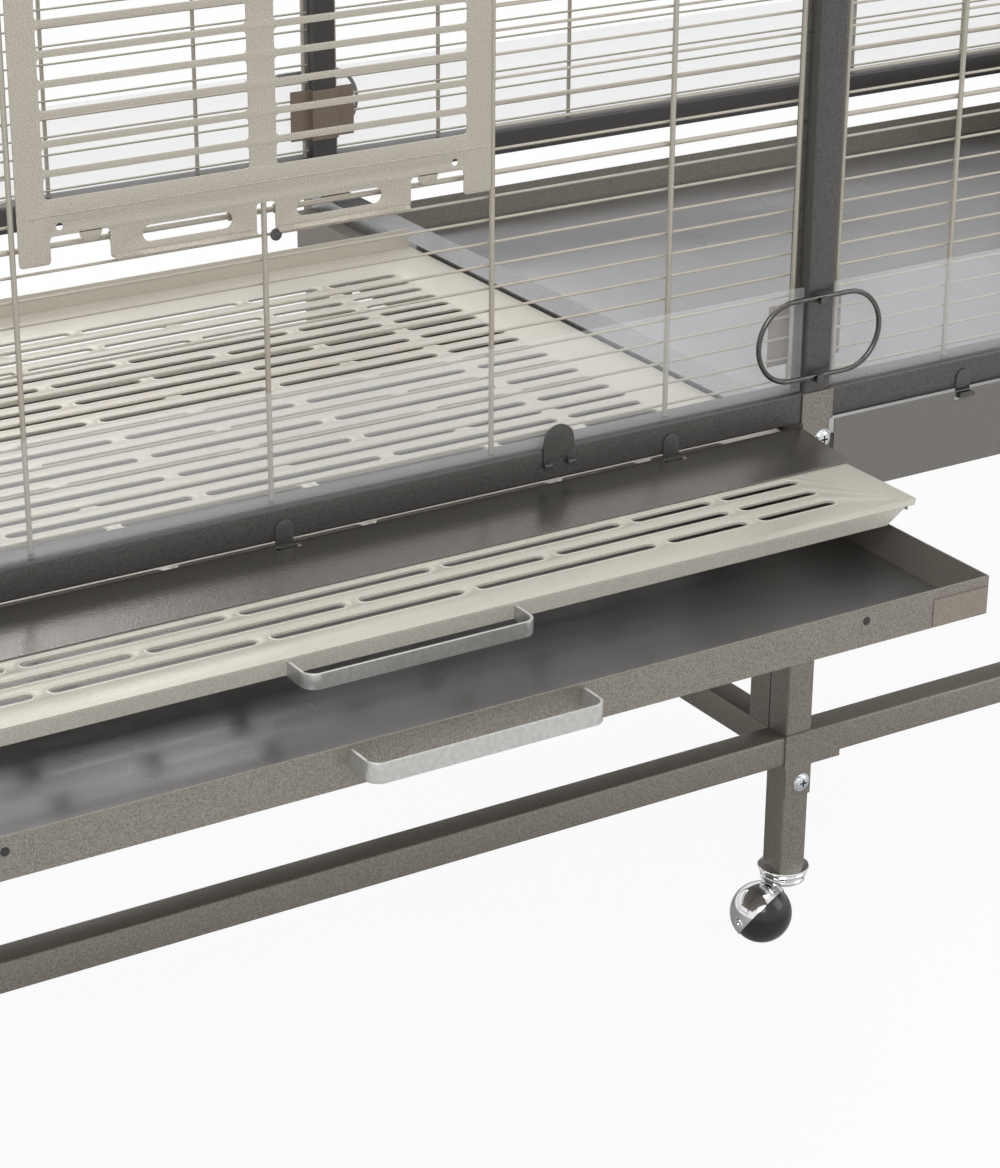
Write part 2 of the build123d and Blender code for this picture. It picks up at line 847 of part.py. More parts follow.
with BuildPart() as grate_edges:
    fold_top = grate_top - sheet
    with BuildSketch(front_view(grate_front + sheet)) as front_fold:
        with BuildLine():
            Polyline(
                (grate_x - grate_width / 2 + grate_corner, fold_top),
                (grate_x + grate_width / 2 - grate_corner, fold_top),
                (grate_x + grate_width / 2 - 2 * grate_corner, grate_base),
                (grate_x - grate_width / 2 + 2 * grate_corner, grate_base),
                close=True,
            )
        make_face()
    extrude(amount=sheet)
    for way in (-1, 1):
        edge_x = grate_x + way * (grate_width - sheet) / 2
        box_between(
            (edge_x - sheet / 2, grate_front + grate_corner, grate_base),
            (edge_x + sheet / 2, grate_back - sheet, fold_top),
        )
    # The rear edge stands up and stops the grate behind the front rail
    box_between(
        (grate_x - grate_width / 2 + sheet, grate_back, grate_base),
        (grate_x + grate_width / 2 - sheet, grate_back + sheet, grate_top + grate_stop),
    )
save(grate_edges, "grate_edges_left")

# Trays: open boxes of folded sheet
tray_width = tray_outer - tray_inner
tray_middle = (tray_outer + tray_inner) / 2
tray_fronts = {"left": front_face - tray_pulled, "right": front_face + tray_parked}

for side, hand in bays:
    with BuildPart() as tray:
        with BuildSketch(plan_view(tray_base)):
            with Locations((side * tray_middle, tray_fronts[hand])):
                Rectangle(tray_width, tray_depth, align=(Align.CENTER, Align.MIN))
        extrude(amount=tray_height)
        with BuildSketch(plan_view(tray_base + tray_sheet)):
            with Locations((side * tray_middle, tray_fronts[hand] + tray_sheet)):
                Rectangle(
                    tray_width - 2 * tray_sheet,
                    tray_depth - 2 * tray_sheet,
                    align=(Align.CENTER, Align.MIN),
                )
        extrude(amount=tray_height, mode=Mode.SUBTRACT)
    save(tray, f"tray_{hand}")

# Bare plate at the inner end of the pulled tray's front
with BuildPart() as tray_plate:
    plate_x = -tray_inner - tray_sheet - badge_width / 2
    with BuildSketch(front_view(tray_fronts["left"])):
        with Locations((plate_x, tray_base + tray_sheet + badge_height / 2)):
            Rectangle(badge_width, badge_height)
    extrude(amount=badge_thickness)
save(tray_plate, "tray_plate")


def strip_handle(x: float, wall_y: float, top: float, height: float) -> None:
    """Adds a handle of flat strip on a front wall: a wide U with rounded corners."""
    with BuildSketch(plan_view(top - height)) as bow:
        with Locations((x, wall_y)):
            RectangleRounded(handle_length, 2 * handle_reach, handle_radius)
            RectangleRounded(
                handle_length - 2 * handle_strip,
                2 * (handle_reach - handle_strip),
                handle_radius - handle_strip,
                mode=Mode.SUBTRACT,
            )
            Rectangle(
                handle_length,
                handle_reach,
                align=(Align.CENTER, Align.MIN),
                mode=Mode.SUBTRACT,
            )
    extrude(bow.sketch, amount=height)


with BuildPart() as grate_handle:
    strip_handle(
        grate_x + grate_handle_shift,
        grate_front,
        floor_rail_top - grate_handle_drop,
        grate_handle_height,
    )
save(grate_handle, "grate_handle")

for side, hand in bays:
    with BuildPart() as tray_handle:
        strip_handle(
            side * tray_middle,
            tray_fronts[hand],
            floor_rail_top - tray_handle_drop,
            tray_handle_height,
        )
    save(tray_handle, f"tray_handle_{hand}")


# Flaps: the left one lies lifted on the grate, the right one hangs closed
def flap_plane(x: float, lift: float) -> Plane:
    """The flap's own plane: local y points up the sheet, out is its outer side."""
    closed = Plane(origin=(x, flap_axis_y, flap_axis_z), x_dir=(1, 0, 0), z_dir=(0, -1, 0))
    return closed.rotated((-lift, 0, 0))


flap_middle = (flap_inner + flap_outer) / 2
flap_hooks = {"left": left_hooks, "right": right_hooks}
flap_lifts = {"left": flap_lift, "right": 0.0}

for side, hand in bays:
    with BuildPart() as flap:
        with BuildSketch(flap_plane(side * flap_middle, flap_lifts[hand])):
            with Locations((0, flap_strip / 2)):
                Rectangle(
                    flap_outer - flap_inner,
                    flap_height,
                    align=(Align.CENTER, Align.MAX),
                )
            slot_places = [(side * (x - flap_middle), -flap_strip / 2) for x in flap_hooks[hand]]
            with Locations(*slot_places):
                Rectangle(
                    flap_slot_width,
                    flap_slot,
                    align=(Align.CENTER, Align.MAX),
                    mode=Mode.SUBTRACT,
                )
        extrude(amount=flap_sheet / 2, both=True)
    save(flap, f"flap_{hand}")

# Hooks on the front rails that the flaps hang from
with BuildPart() as hooks:
    foot_top = flap_axis_z - flap_strip / 2 - hook_fit
    foot_base = foot_top - hook_sheet
    for side, hand in bays:
        for x in flap_hooks[hand]:
            with BuildSketch(side_view(side * x - hook_width / 2)) as bend:
                with Locations((front_face, foot_base)):
                    Rectangle(
                        hook_sheet,
                        floor_rail_base + hook_rise - foot_base,
                        align=(Align.MAX, Align.MIN),
                    )
                    Rectangle(hook_reach, hook_sheet, align=(Align.MAX, Align.MIN))
                with Locations((front_face - hook_reach, foot_base)):
                    Rectangle(
                        hook_sheet,
                        hook_sheet + hook_tip,
                        align=(Align.MIN, Align.MIN),
                    )
            extrude(bend.sketch, amount=hook_width)
save(hooks, "flap_hooks")


# Casters: a ball in a hood that swivels under each leg, trailing behind its stem
def across_flats(apothem: float, sides: int) -> float:
    """The corner radius of a regular polygon whose flats lie at apothem."""
    return apothem / cos(pi / sides)


ball_corner = across_flats(ball_radius, ball_sides)
hood_inner = across_flats(ball_corner + ball_clearance, ball_sides)
hood_outer = across_flats(ball_corner + ball_clearance + hood_sheet, ball_sides)
cheek_inner = ball_half_width + ball_clearance
cheek_outer = cheek_inner + hood_cheek
half_side = 180 / ball_sides
collar_top = leg_foot - flange_thickness - seat_gap
bore_sides = 8
bore_flat = 180 / bore_sides

with BuildPart() as caster_sockets:
    with BuildSketch(plan_view(leg_foot - flange_thickness)):
        with Locations(*post_spots):
            RegularPolygon(flange_radius, ball_sides)
    extrude(amount=flange_thickness)
    with BuildSketch(plan_view(leg_foot)):
        with Locations(*post_spots):
            Rectangle(tube_bore - 2 * plug_clearance, tube_bore - 2 * plug_clearance)
    extrude(amount=stem_depth)
    with BuildSketch(plan_view(leg_foot - flange_thickness)):
        with Locations(*post_spots):
            RegularPolygon(across_flats(stem_radius + stem_clearance, bore_sides), bore_sides)
    extrude(amount=flange_thickness + stem_depth, mode=Mode.SUBTRACT)
save(caster_sockets, "caster_sockets")

for number, (post_x, post_y) in enumerate(post_spots, start=1):
    ball_x = post_x + (caster_trail if post_x < 0 else -caster_trail)
    with BuildPart() as hood:
        with BuildSketch(front_view(post_y + cheek_outer)):
            with Locations((ball_x, ball_radius)):
                RegularPolygon(hood_outer, ball_sides, rotation=half_side)
        extrude(amount=2 * cheek_outer)
        with BuildSketch(plan_view(ball_radius)):
            with Locations((post_x, post_y)):
                RegularPolygon(collar_radius, bore_sides)
        extrude(amount=collar_top - ball_radius)
        with BuildSketch(front_view(post_y + cheek_inner)):
            with Locations((ball_x, ball_radius)):
                RegularPolygon(hood_inner, ball_sides, rotation=half_side)
        extrude(amount=2 * cheek_inner, mode=Mode.SUBTRACT)
        with BuildSketch(front_view(post_y + cheek_outer)):
            with Locations((ball_x, ball_radius - hood_drop)):
                Rectangle(4 * ball_radius, 2 * ball_radius, align=(Align.CENTER, Align.MAX))
        extrude(amount=2 * cheek_outer, mode=Mode.SUBTRACT)
        with BuildSketch(front_view(post_y + cheek_outer)):
            with Locations((ball_x, ball_radius)):
                RegularPolygon(axle_radius, 6)
        extrude(amount=2 * cheek_outer)
        with BuildSketch(plan_view(collar_top)):
            with Locations((post_x, post_y)):
                RegularPolygon(stem_radius, bore_sides)
        extrude(amount=flange_thickness + stem_depth)
    save(hood, f"caster_hood_{number}")

    with BuildPart() as ball:
        with BuildSketch(front_view(post_y + ball_tread / 2)) as tread:
            with Locations((ball_x, ball_radius)):
                RegularPolygon(ball_corner, ball_sides, rotation=half_side)
        extrude(amount=ball_tread)
        shoulder = ball_half_width - ball_tread / 2
        for end_face in ball.faces().filter_by(Axis.Y):
            extrude(end_face, amount=shoulder, taper=ball_taper)
        with BuildSketch(front_view(post_y + ball_half_width)):
            with Locations((ball_x, ball_radius)):
                RegularPolygon(across_flats(axle_radius + axle_clearance, bore_sides), bore_sides)
        extrude(amount=2 * ball_half_width, mode=Mode.SUBTRACT)
    save(ball, f"caster_ball_{number}")
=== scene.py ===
"""Dresses the bird aviary: coats, round wires, doors, grate, casters, light and camera."""

import logging
import math
from dataclasses import dataclass
from enum import Enum
from typing import Iterable, Sequence

import bmesh
import bpy
from mathutils import Matrix, Vector


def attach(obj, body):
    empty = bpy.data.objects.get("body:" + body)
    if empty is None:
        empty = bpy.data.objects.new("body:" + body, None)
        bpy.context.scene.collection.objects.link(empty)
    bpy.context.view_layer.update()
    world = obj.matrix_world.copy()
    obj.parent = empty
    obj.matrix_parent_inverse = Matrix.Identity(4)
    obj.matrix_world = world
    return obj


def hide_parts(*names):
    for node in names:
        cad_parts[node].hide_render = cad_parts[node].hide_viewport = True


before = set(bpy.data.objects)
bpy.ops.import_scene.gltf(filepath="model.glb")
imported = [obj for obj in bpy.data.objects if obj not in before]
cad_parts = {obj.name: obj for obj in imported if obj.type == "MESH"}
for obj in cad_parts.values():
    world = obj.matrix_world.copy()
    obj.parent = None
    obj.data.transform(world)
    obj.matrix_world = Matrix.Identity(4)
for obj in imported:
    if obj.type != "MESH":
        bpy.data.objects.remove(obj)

LOG = logging.getLogger("aviary")
# Lengths are in mm.
# A name that ends in _M is in metres, and so are the camera's and the lamps' places.
MM = 0.001
WELD_M = 0.00001
FRONT = -264.25
REAR = 525.75
POSTS = (-920.0, 0.0, 920.0)
HALF_TUBE = 12.5
STAND_TOP = 187.0
FLOOR_TOP = 478.0
ROOF_TOP = 1655.0
ROD_Z = 683.1
DOOR_WIRE_X = 460.5
BALL_TRAIL = 20.0
ROUND_END_GAP = 0.05
CORNER_SHARE = 0.45  # of a side, at most, for one rounded corner
FLECK_WAVES = 1.3  # of the grain's waves per metre
DENT_WAVES = 0.6
CLOUDS_PER_METRE = 9.0  # slow changes of gloss
CLOUD_EDGES = (0.3, 0.7)
GLOSS_CHANGE = (0.85, 1.2)  # times the roughness
RELIEF_HEIGHT_M = 0.0005
BRUSH_STROKES = (8.0, 400.0, 1200.0)  # waves per metre along X, Y and Z
Point = tuple[float, float]
Place = tuple[float, float, float]


class Grain(Enum):
    """The relief that a coat or a metal shows close up."""

    HAMMERED = "hammered"
    BRUSHED = "brushed"
    SMOOTH = "smooth"


class Facing(Enum):
    """The way that a sheet faces, as the turn of its own plane."""

    FRONT = ((1, 0, 0), (0, 0, -1), (0, 1, 0))
    TOP = ((1, 0, 0), (0, 1, 0), (0, 0, 1))


class Axis(Enum):
    """The axis that a lathed piece turns round."""

    Y = "y"
    Z = "z"


@dataclass(frozen=True)
class Shading:
    """Adds nodes to a material, all of them at the same coordinates."""

    tree: bpy.types.NodeTree
    where: bpy.types.NodeSocket

    def noise(self, scale: float, detail: float) -> bpy.types.NodeSocket:
        """Adds a noise.

        Args:
            scale: Waves per metre.
            detail: How many finer layers it has.

        Returns:
            The noise's value.
        """
        node = self.tree.nodes.new("ShaderNodeTexNoise")
        node.inputs["Scale"].default_value = scale
        node.inputs["Detail"].default_value = detail
        self.tree.links.new(self.where, node.inputs["Vector"])
        return node.outputs["Fac"]

    def ranged(
        self, value: bpy.types.NodeSocket, source: Point, target: Point
    ) -> bpy.types.NodeSocket:
        """Maps a value from one range to another.

        Args:
            value: The value.
            source: Start and end of its range.
            target: Start and end of the new range.

        Returns:
            The mapped value.
        """
        node = self.tree.nodes.new("ShaderNodeMapRange")
        names = ("From Min", "From Max", "To Min", "To Max")
        for name, number in zip(names, (*source, *target)):
            node.inputs[name].default_value = number
        self.tree.links.new(value, node.inputs["Value"])
        return node.outputs["Result"]

    def brushed(self) -> bpy.types.NodeSocket:
        """Adds a noise drawn out along X, as brushing leaves it.

        Returns:
            The noise's value.
        """
        stretch = self.tree.nodes.new("ShaderNodeMapping")
        stretch.inputs["Scale"].default_value = BRUSH_STROKES
        self.tree.links.new(self.where, stretch.inputs["Vector"])
        return Shading(self.tree, stretch.outputs["Vector"]).noise(1.0, 2.0)


@dataclass(frozen=True)
class Finish:
    """One coat, metal or plastic, with its colours and its relief."""

    name: str
    base: Place
    fleck: Place
    metallic: float
    roughness: float
    grain: Grain = Grain.HAMMERED
    grain_scale: float = 1000.0
    relief: float = 0.35
    coat: float = 0.0
    alpha: float = 1.0
    spread: Point = (0.36, 0.64)

    def material(self) -> bpy.types.Material:
        """Builds the finish once and gives it back afterwards.

        Returns:
            The node material of this finish.
        """
        title = f"{self.name}_finish"
        if title in bpy.data.materials:
            return bpy.data.materials[title]
        made = bpy.data.materials.new(title)
        made.use_nodes = True
        tree = made.node_tree
        shader = tree.nodes["Principled BSDF"]
        shader.inputs["Metallic"].default_value = self.metallic
        shader.inputs["Coat Weight"].default_value = self.coat
        shader.inputs["Alpha"].default_value = self.alpha
        shading = Shading(tree, tree.nodes.new("ShaderNodeTexCoord").outputs["Object"])
        fleck = shading.noise(self.grain_scale * FLECK_WAVES, 2.0)
        mix = tree.nodes.new("ShaderNodeMix")
        mix.data_type = "RGBA"
        mix.inputs["A"].default_value = (*self.base, 1.0)
        mix.inputs["B"].default_value = (*self.fleck, 1.0)
        tree.links.new(shading.ranged(fleck, self.spread, (0.0, 1.0)), mix.inputs["Factor"])
        tree.links.new(mix.outputs["Result"], shader.inputs["Base Color"])
        cloud = shading.noise(CLOUDS_PER_METRE, 2.0)
        low, high = (self.roughness * change for change in GLOSS_CHANGE)
        gloss = shading.ranged(cloud, CLOUD_EDGES, (low, high))
        tree.links.new(gloss, shader.inputs["Roughness"])
        if self.grain is not Grain.SMOOTH:
            tree.links.new(self._relief(shading), shader.inputs["Normal"])
        return made

    def _relief(self, shading: Shading) -> bpy.types.NodeSocket:
        """Adds the bump that the grain asks for.

        Args:
            shading: Adds the nodes.

        Returns:
            The bumped normal.
        """
        bump = shading.tree.nodes.new("ShaderNodeBump")
        bump.inputs["Strength"].default_value = self.relief
        bump.inputs["Distance"].default_value = RELIEF_HEIGHT_M
        hammered = self.grain is Grain.HAMMERED
        dents = self.grain_scale * DENT_WAVES
        height = shading.noise(dents, 1.0) if hammered else shading.brushed()
        shading.tree.links.new(height, bump.inputs["Height"])
        return bump.outputs["Normal"]


FINISHES: dict[str, Finish] = {
    finish.name: finish
    for finish in (
        Finish("frame_coat", (0.167, 0.151, 0.131), (0.308, 0.28, 0.242), 0.45, 0.42, relief=0.5),
        Finish("rail_coat", (0.067, 0.064, 0.062), (0.116, 0.112, 0.108), 0.5, 0.36, relief=0.4),
        Finish("mesh_coat", (0.41, 0.378, 0.315), (0.51, 0.473, 0.405), 0.3, 0.4, relief=0.2),
        Finish("door_coat", (0.355, 0.324, 0.269), (0.594, 0.556, 0.481), 0.35, 0.38, relief=0.5),
        Finish("clamp_coat", (0.218, 0.169, 0.128), (0.312, 0.256, 0.202), 0.4, 0.4, relief=0.5),
        Finish("grate_coat", (0.525, 0.497, 0.43), (0.68, 0.65, 0.575), 0.2, 0.34, relief=0.4),
        Finish("flap_coat", (0.165, 0.157, 0.147), (0.215, 0.204, 0.190), 0.8, 0.2, relief=0.25),
        Finish("tray_coat", (0.166, 0.152, 0.132), (0.319, 0.292, 0.253), 0.45, 0.4, relief=0.5),
        Finish("tray_floor", (0.32, 0.32, 0.325), (0.36, 0.36, 0.365), 0.9, 0.3, relief=0.05),
        Finish("tray_plate", (0.245, 0.21, 0.175), (0.335, 0.29, 0.245), 0.8, 0.35, relief=0.4),
        Finish(
            "handle_metal", (0.50, 0.50, 0.485), (0.57, 0.57, 0.555),
            0.75, 0.4, Grain.BRUSHED, 200.0, 0.1
        ),
        Finish(
            "runner_metal", (0.30, 0.30, 0.305), (0.36, 0.36, 0.365),
            0.9, 0.26, Grain.BRUSHED, 200.0, 0.08
        ),
        Finish("zinc", (0.60, 0.63, 0.66), (0.72, 0.74, 0.76), 1.0, 0.2, Grain.SMOOTH),
        Finish("spring_wire", (0.085, 0.083, 0.080), (0.14, 0.135, 0.13), 1.0, 0.22, Grain.SMOOTH),
        Finish("cap_plastic", (0.018, 0.018, 0.018), (0.028, 0.028, 0.028), 0.0, 0.5, relief=0.1),
        Finish("caster_chrome", (0.74, 0.75, 0.76), (0.82, 0.82, 0.83), 1.0, 0.09, Grain.SMOOTH),
        Finish(
            "caster_black", (0.007, 0.0065, 0.006), (0.013, 0.011, 0.010),
            0.0, 0.2, Grain.SMOOTH, coat=0.3
        ),
        Finish(
            "clear_guard", (0.86, 0.89, 0.92), (0.92, 0.94, 0.96),
            0.0, 0.05, Grain.SMOOTH, alpha=0.13
        ),
    )
}


def inset(end: int, depth: float) -> float:
    """The Y in mm that lies depth inside the front face, end -1, or the rear face, end 1."""
    return FRONT + depth if end < 0 else REAR - depth


def placed(name: str, data: bpy.types.ID) -> bpy.types.Object:
    """Puts an object in the scene.

    Args:
        name: Its name.
        data: Its mesh, curve, lamp or camera.

    Returns:
        The object.
    """
    thing = bpy.data.objects.new(name, data)
    bpy.context.scene.collection.objects.link(thing)
    return thing


def add_piece(
    name: str, mesh: bpy.types.Mesh, body: str, slot: str, *nodes: str, finish: str = ""
) -> bpy.types.Object:
    """Puts a mesh in the scene as a piece of the aviary.

    Args:
        name: The piece's name.
        mesh: Its mesh, in the row frame.
        body: The body it moves with.
        slot: Its material slot.
        nodes: The solids it stands for.
        finish: Its finish, where that isn't named as the slot is.

    Returns:
        The piece.
    """
    piece = placed(name, mesh)
    mesh.materials.clear()
    mesh.materials.append(FINISHES[finish or slot].material())
    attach(piece, body)
    if nodes:
        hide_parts(*nodes)
    LOG.info("%s rides on %s", name, body)
    return piece


def mesh_of(
    points: Sequence[Sequence[float]], faces: Sequence[Sequence[int]], smooth: bool = True
) -> bpy.types.Mesh:
    """Makes a mesh from points in mm.

    Args:
        points: The vertices.
        faces: Their faces.
        smooth: Whether shallow edges are shaded smooth.

    Returns:
        The mesh.
    """
    mesh = bpy.data.meshes.new("piece")
    mesh.from_pydata([Vector(p) * MM for p in points], [], faces)
    turn_out(mesh)
    if smooth:
        smooth_shallow(mesh)
    return mesh


def turn_out(mesh: bpy.types.Mesh, weld: float = 0.0) -> None:
    """Turns a mesh's faces outward.

    Args:
        mesh: The mesh.
        weld: Joins the points that lie closer than this first, in m, unless it is 0.
    """
    work = bmesh.new()
    work.from_mesh(mesh)
    if weld:
        bmesh.ops.remove_doubles(work, verts=work.verts, dist=weld)
    bmesh.ops.recalc_face_normals(work, faces=work.faces)
    work.to_mesh(mesh)
    work.free()


def smooth_shallow(mesh: bpy.types.Mesh, limit: float = 32.0) -> None:
    """Shades a mesh smooth apart from edges sharper than the limit.

    Args:
        mesh: The mesh.
        limit: The sharpest smooth edge, in degrees.
    """
    mesh.shade_smooth()
    mesh.set_sharp_from_angle(angle=math.radians(limit))


def rounded(
    cx: float, cy: float, width: float, height: float, radius: float, steps: int = 4
) -> list[Point]:
    """Points round a rectangle with rounded corners.

    Args:
        cx: Middle, across.
        cy: Middle, up.
        width: Full width.
        height: Full height.
        radius: Corner radius.
        steps: Parts of each corner.

    Returns:
        The points in order.
    """
    out = []
    for quarter, (sx, sy) in enumerate(((1, 1), (-1, 1), (-1, -1), (1, -1))):
        for step in range(steps + 1):
            turn = math.pi / 2 * (quarter + step / steps)
            x = cx + sx * (width / 2 - radius) + radius * math.cos(turn)
            y = cy + sy * (height / 2 - radius) + radius * math.sin(turn)
            out.append((x, y))
    return out


def filleted(corners: Sequence[Point], radius: float, steps: int = 4) -> list[Point]:
    """Rounds each corner of a polygon.

    Args:
        corners: Its corners in order.
        radius: The largest radius; a short side takes less.
        steps: Parts of each corner.

    Returns:
        The rounded outline.
    """
    out = []
    count = len(corners)
    for i in range(count):
        here = Vector(corners[i])
        back, ahead = Vector(corners[i - 1]) - here, Vector(corners[(i + 1) % count]) - here
        half = back.angle(ahead) / 2
        cut = min(radius / math.tan(half), back.length * CORNER_SHARE, ahead.length * CORNER_SHARE)
        first, last = here + back.normalized() * cut, here + ahead.normalized() * cut
        for step in range(steps + 1):
            t = step / steps
            point = (1 - t) ** 2 * first + 2 * t * (1 - t) * here + t * t * last
            out.append((point.x, point.y))
    return out


def slotted(cx: float, cy: float, width: float, height: float) -> list[Point]:
    """Points round a slot with half-round ends.

    Args:
        cx: Middle, across.
        cy: Middle, up.
        width: Full width.
        height: Full height.

    Returns:
        The points in order.
    """
    return rounded(cx, cy, width, height, height / 2 - ROUND_END_GAP)


def arch(cx: float, cy: float, reach: float, rise: float, steps: int) -> list[Point]:
    """Points of a half ellipse, from its right end to its left end.

    Args:
        cx: Middle of its base, across.
        cy: Middle of its base, up.
        reach: Half its width.
        rise: Its height; a negative one hangs down.
        steps: Its parts.

    Returns:
        The points in order.
    """
    turns = [math.pi * step / steps for step in range(steps + 1)]
    return [(cx + reach * math.cos(turn), cy + rise * math.sin(turn)) for turn in turns]


def panel(
    loops: Iterable[Sequence[Point]],
    facing: Facing,
    level: float,
    thickness: float,
    edge: float = 0.2,
) -> bpy.types.Mesh:
    """Cuts a sheet with holes: the first loop is its outline.

    Args:
        loops: The outline and the holes, in mm.
        facing: The way it faces.
        level: The Y or Z of the sheet's middle, in mm.
        thickness: The sheet's thickness.
        edge: The radius of its edges.

    Returns:
        The mesh.
    """
    curve = bpy.data.curves.new("sheet", "CURVE")
    curve.dimensions = "2D"
    curve.fill_mode = "BOTH"
    curve.extrude = (thickness / 2 - edge) * MM
    curve.bevel_depth = edge * MM
    curve.offset = -edge * MM
    curve.bevel_resolution = 1
    for loop in loops:
        spline = curve.splines.new("POLY")
        spline.points.add(len(loop) - 1)
        for point, (x, y) in zip(spline.points, loop):
            point.co = (x * MM, y * MM, 0.0, 1.0)
        spline.use_cyclic_u = True
    mesh = converted(curve)
    turn = Matrix(facing.value)
    shift = turn @ Vector((0.0, 0.0, -level if facing is Facing.FRONT else level)) * MM
    mesh.transform(Matrix.Translation(shift) @ turn.to_4x4())
    smooth_shallow(mesh)
    return mesh


def converted(curve: bpy.types.Curve) -> bpy.types.Mesh:
    """Turns a curve into a mesh.

    Args:
        curve: The curve, which is used up.

    Returns:
        The mesh.
    """
    holder = placed("holder", curve)
    bpy.context.view_layer.update()
    graph = bpy.context.evaluated_depsgraph_get()
    mesh = bpy.data.meshes.new_from_object(holder.evaluated_get(graph))
    bpy.data.objects.remove(holder)
    turn_out(mesh, WELD_M)
    return mesh


def wires(
    paths: Iterable[Sequence[Place]], diameter: float, closed: bool = False
) -> bpy.types.Mesh:
    """Sweeps round wire along paths.

    Args:
        paths: The middle lines, in mm.
        diameter: The wire's diameter, in mm.
        closed: Whether the ends meet.

    Returns:
        The mesh of all the wires.
    """
    curve = bpy.data.curves.new("wires", "CURVE")
    curve.dimensions = "3D"
    curve.bevel_depth = diameter / 2 * MM
    curve.bevel_resolution = 2
    curve.use_fill_caps = True
    for path in paths:
        spline = curve.splines.new("POLY")
        spline.points.add(len(path) - 1)
        for point, place in zip(spline.points, path):
            point.co = (*(Vector(place) * MM), 1.0)
        spline.use_cyclic_u = closed
    mesh = converted(curve)
    smooth_shallow(mesh, 50.0)
    return mesh


def lathed(profile: Sequence[Point], centre: Place, axis: Axis, sides: int = 40) -> bpy.types.Mesh:
    """Turns a profile of (along, radius) round an axis.

    Args:
        profile: The points, in mm.
        centre: Where along is 0.
        axis: The axis it turns round.
        sides: Parts round the axis.

    Returns:
        The mesh.
    """
    points, faces = [], []
    for along, radius in profile:
        for side in range(sides):
            turn = 2 * math.pi * side / sides
            a, b = radius * math.cos(turn), radius * math.sin(turn)
            local = (a, along, b) if axis is Axis.Y else (a, b, along)
            points.append(tuple(c + p for c, p in zip(centre, local)))
    for ring in range(len(profile) - 1):
        for side in range(sides):
            ahead = (side + 1) % sides
            start = ring * sides
            faces.append((start + side, start + ahead, start + sides + ahead, start + sides + side))
    faces.append(tuple(range(sides)))
    faces.append(tuple(range((len(profile) - 1) * sides, len(profile) * sides)))
    return mesh_of(points, faces)


def joined(meshes: Iterable[bpy.types.Mesh]) -> bpy.types.Mesh:
    """Joins meshes into one.

    Args:
        meshes: The meshes.

    Returns:
        One mesh of them all.
    """
    work = bmesh.new()
    for mesh in meshes:
        work.from_mesh(mesh)
    out = bpy.data.meshes.new("joined")
    work.to_mesh(out)
    work.free()
    smooth_shallow(out, 40.0)
    return out


@dataclass
class FrameTubes:
    """The square tubes of the stand and the cage, with the drawn corners of real tube."""

    size: float = 25.0
    wall: float = 1.2
    corner: float = 2.4
    leg_foot: float = 65.0
    leg_length: float = 388.0
    post_foot: float = 453.0
    post_length: float = 1202.0
    bays: Point = (-907.5, 12.5)
    bay_length: float = 895.0
    depth: float = 740.0

    def tube(self, middle: Place, axis: int, length: float) -> bpy.types.Mesh:
        """Makes one tube.

        Args:
            middle: The middle of its first end, in mm.
            axis: 0, 1 or 2 for X, Y or Z.
            length: Its length.

        Returns:
            The mesh.
        """
        bore = self.size - 2 * self.wall
        outer = rounded(0, 0, self.size, self.size, self.corner, 3)
        inner = rounded(0, 0, bore, bore, self.corner - self.wall, 3)
        points = []
        for loop, along in ((outer, 0), (outer, length), (inner, length), (inner, 0)):
            for u, v in loop:
                local = [u, v]
                local.insert(axis, along)
                points.append([a + b for a, b in zip(middle, local)])
        count = len(outer)
        faces = []
        for ring in range(4):
            for i in range(count):
                a, b = ring * count, (ring + 1) % 4 * count
                faces.append((a + i, a + (i + 1) % count, b + (i + 1) % count, b + i))
        return mesh_of(points, faces)

    def build(self) -> None:
        """Makes every tube of the frame."""
        half = self.size / 2
        ends = (inset(-1, half), inset(1, half))
        spots = [(x, y) for x in POSTS for y in ends]
        legs = [((x, y, self.leg_foot), 2, self.leg_length) for x, y in spots]
        posts = [((x, y, self.post_foot), 2, self.post_length) for x, y in spots]
        self.piece("stand_legs", legs, "legs")
        self.piece("corner_posts", posts, "cage_posts", "rail_coat")
        across = [(x, y) for x in self.bays for y in ends]
        for name, top, node, finish in (
            ("stand_long_rails", STAND_TOP, "stand_rails", "frame_coat"),
            ("floor_long_rails", FLOOR_TOP, "floor_rails", "rail_coat"),
            ("roof_long_rails", ROOF_TOP, "roof_rails", "frame_coat"),
        ):
            rails = [((x, y, top - half), 0, self.bay_length) for x, y in across]
            self.piece(name, rails, node, finish)
        start = inset(-1, self.size)
        for name, top, places, node in (
            ("stand_short_rails", STAND_TOP, POSTS, "stand_cross_rails"),
            ("floor_short_rails", FLOOR_TOP, (POSTS[0], POSTS[2]), "floor_side_rails"),
            ("roof_short_rails", ROOF_TOP, POSTS, "roof_cross_rails"),
        ):
            rails = [((x, start, top - half), 1, self.depth) for x in places]
            self.piece(name, rails, node)

    def piece(
        self,
        name: str,
        tubes: Sequence[tuple[Place, int, float]],
        node: str,
        finish: str = "frame_coat",
    ) -> None:
        """Joins some tubes into one piece.

        Args:
            name: The piece's name.
            tubes: The start, axis and length of each.
            node: The solid it stands for.
            finish: Its coat.
        """
        mesh = joined(self.tube(*tube) for tube in tubes)
        add_piece(name, mesh, "cage_frame", "frame_coat", node, finish=finish)


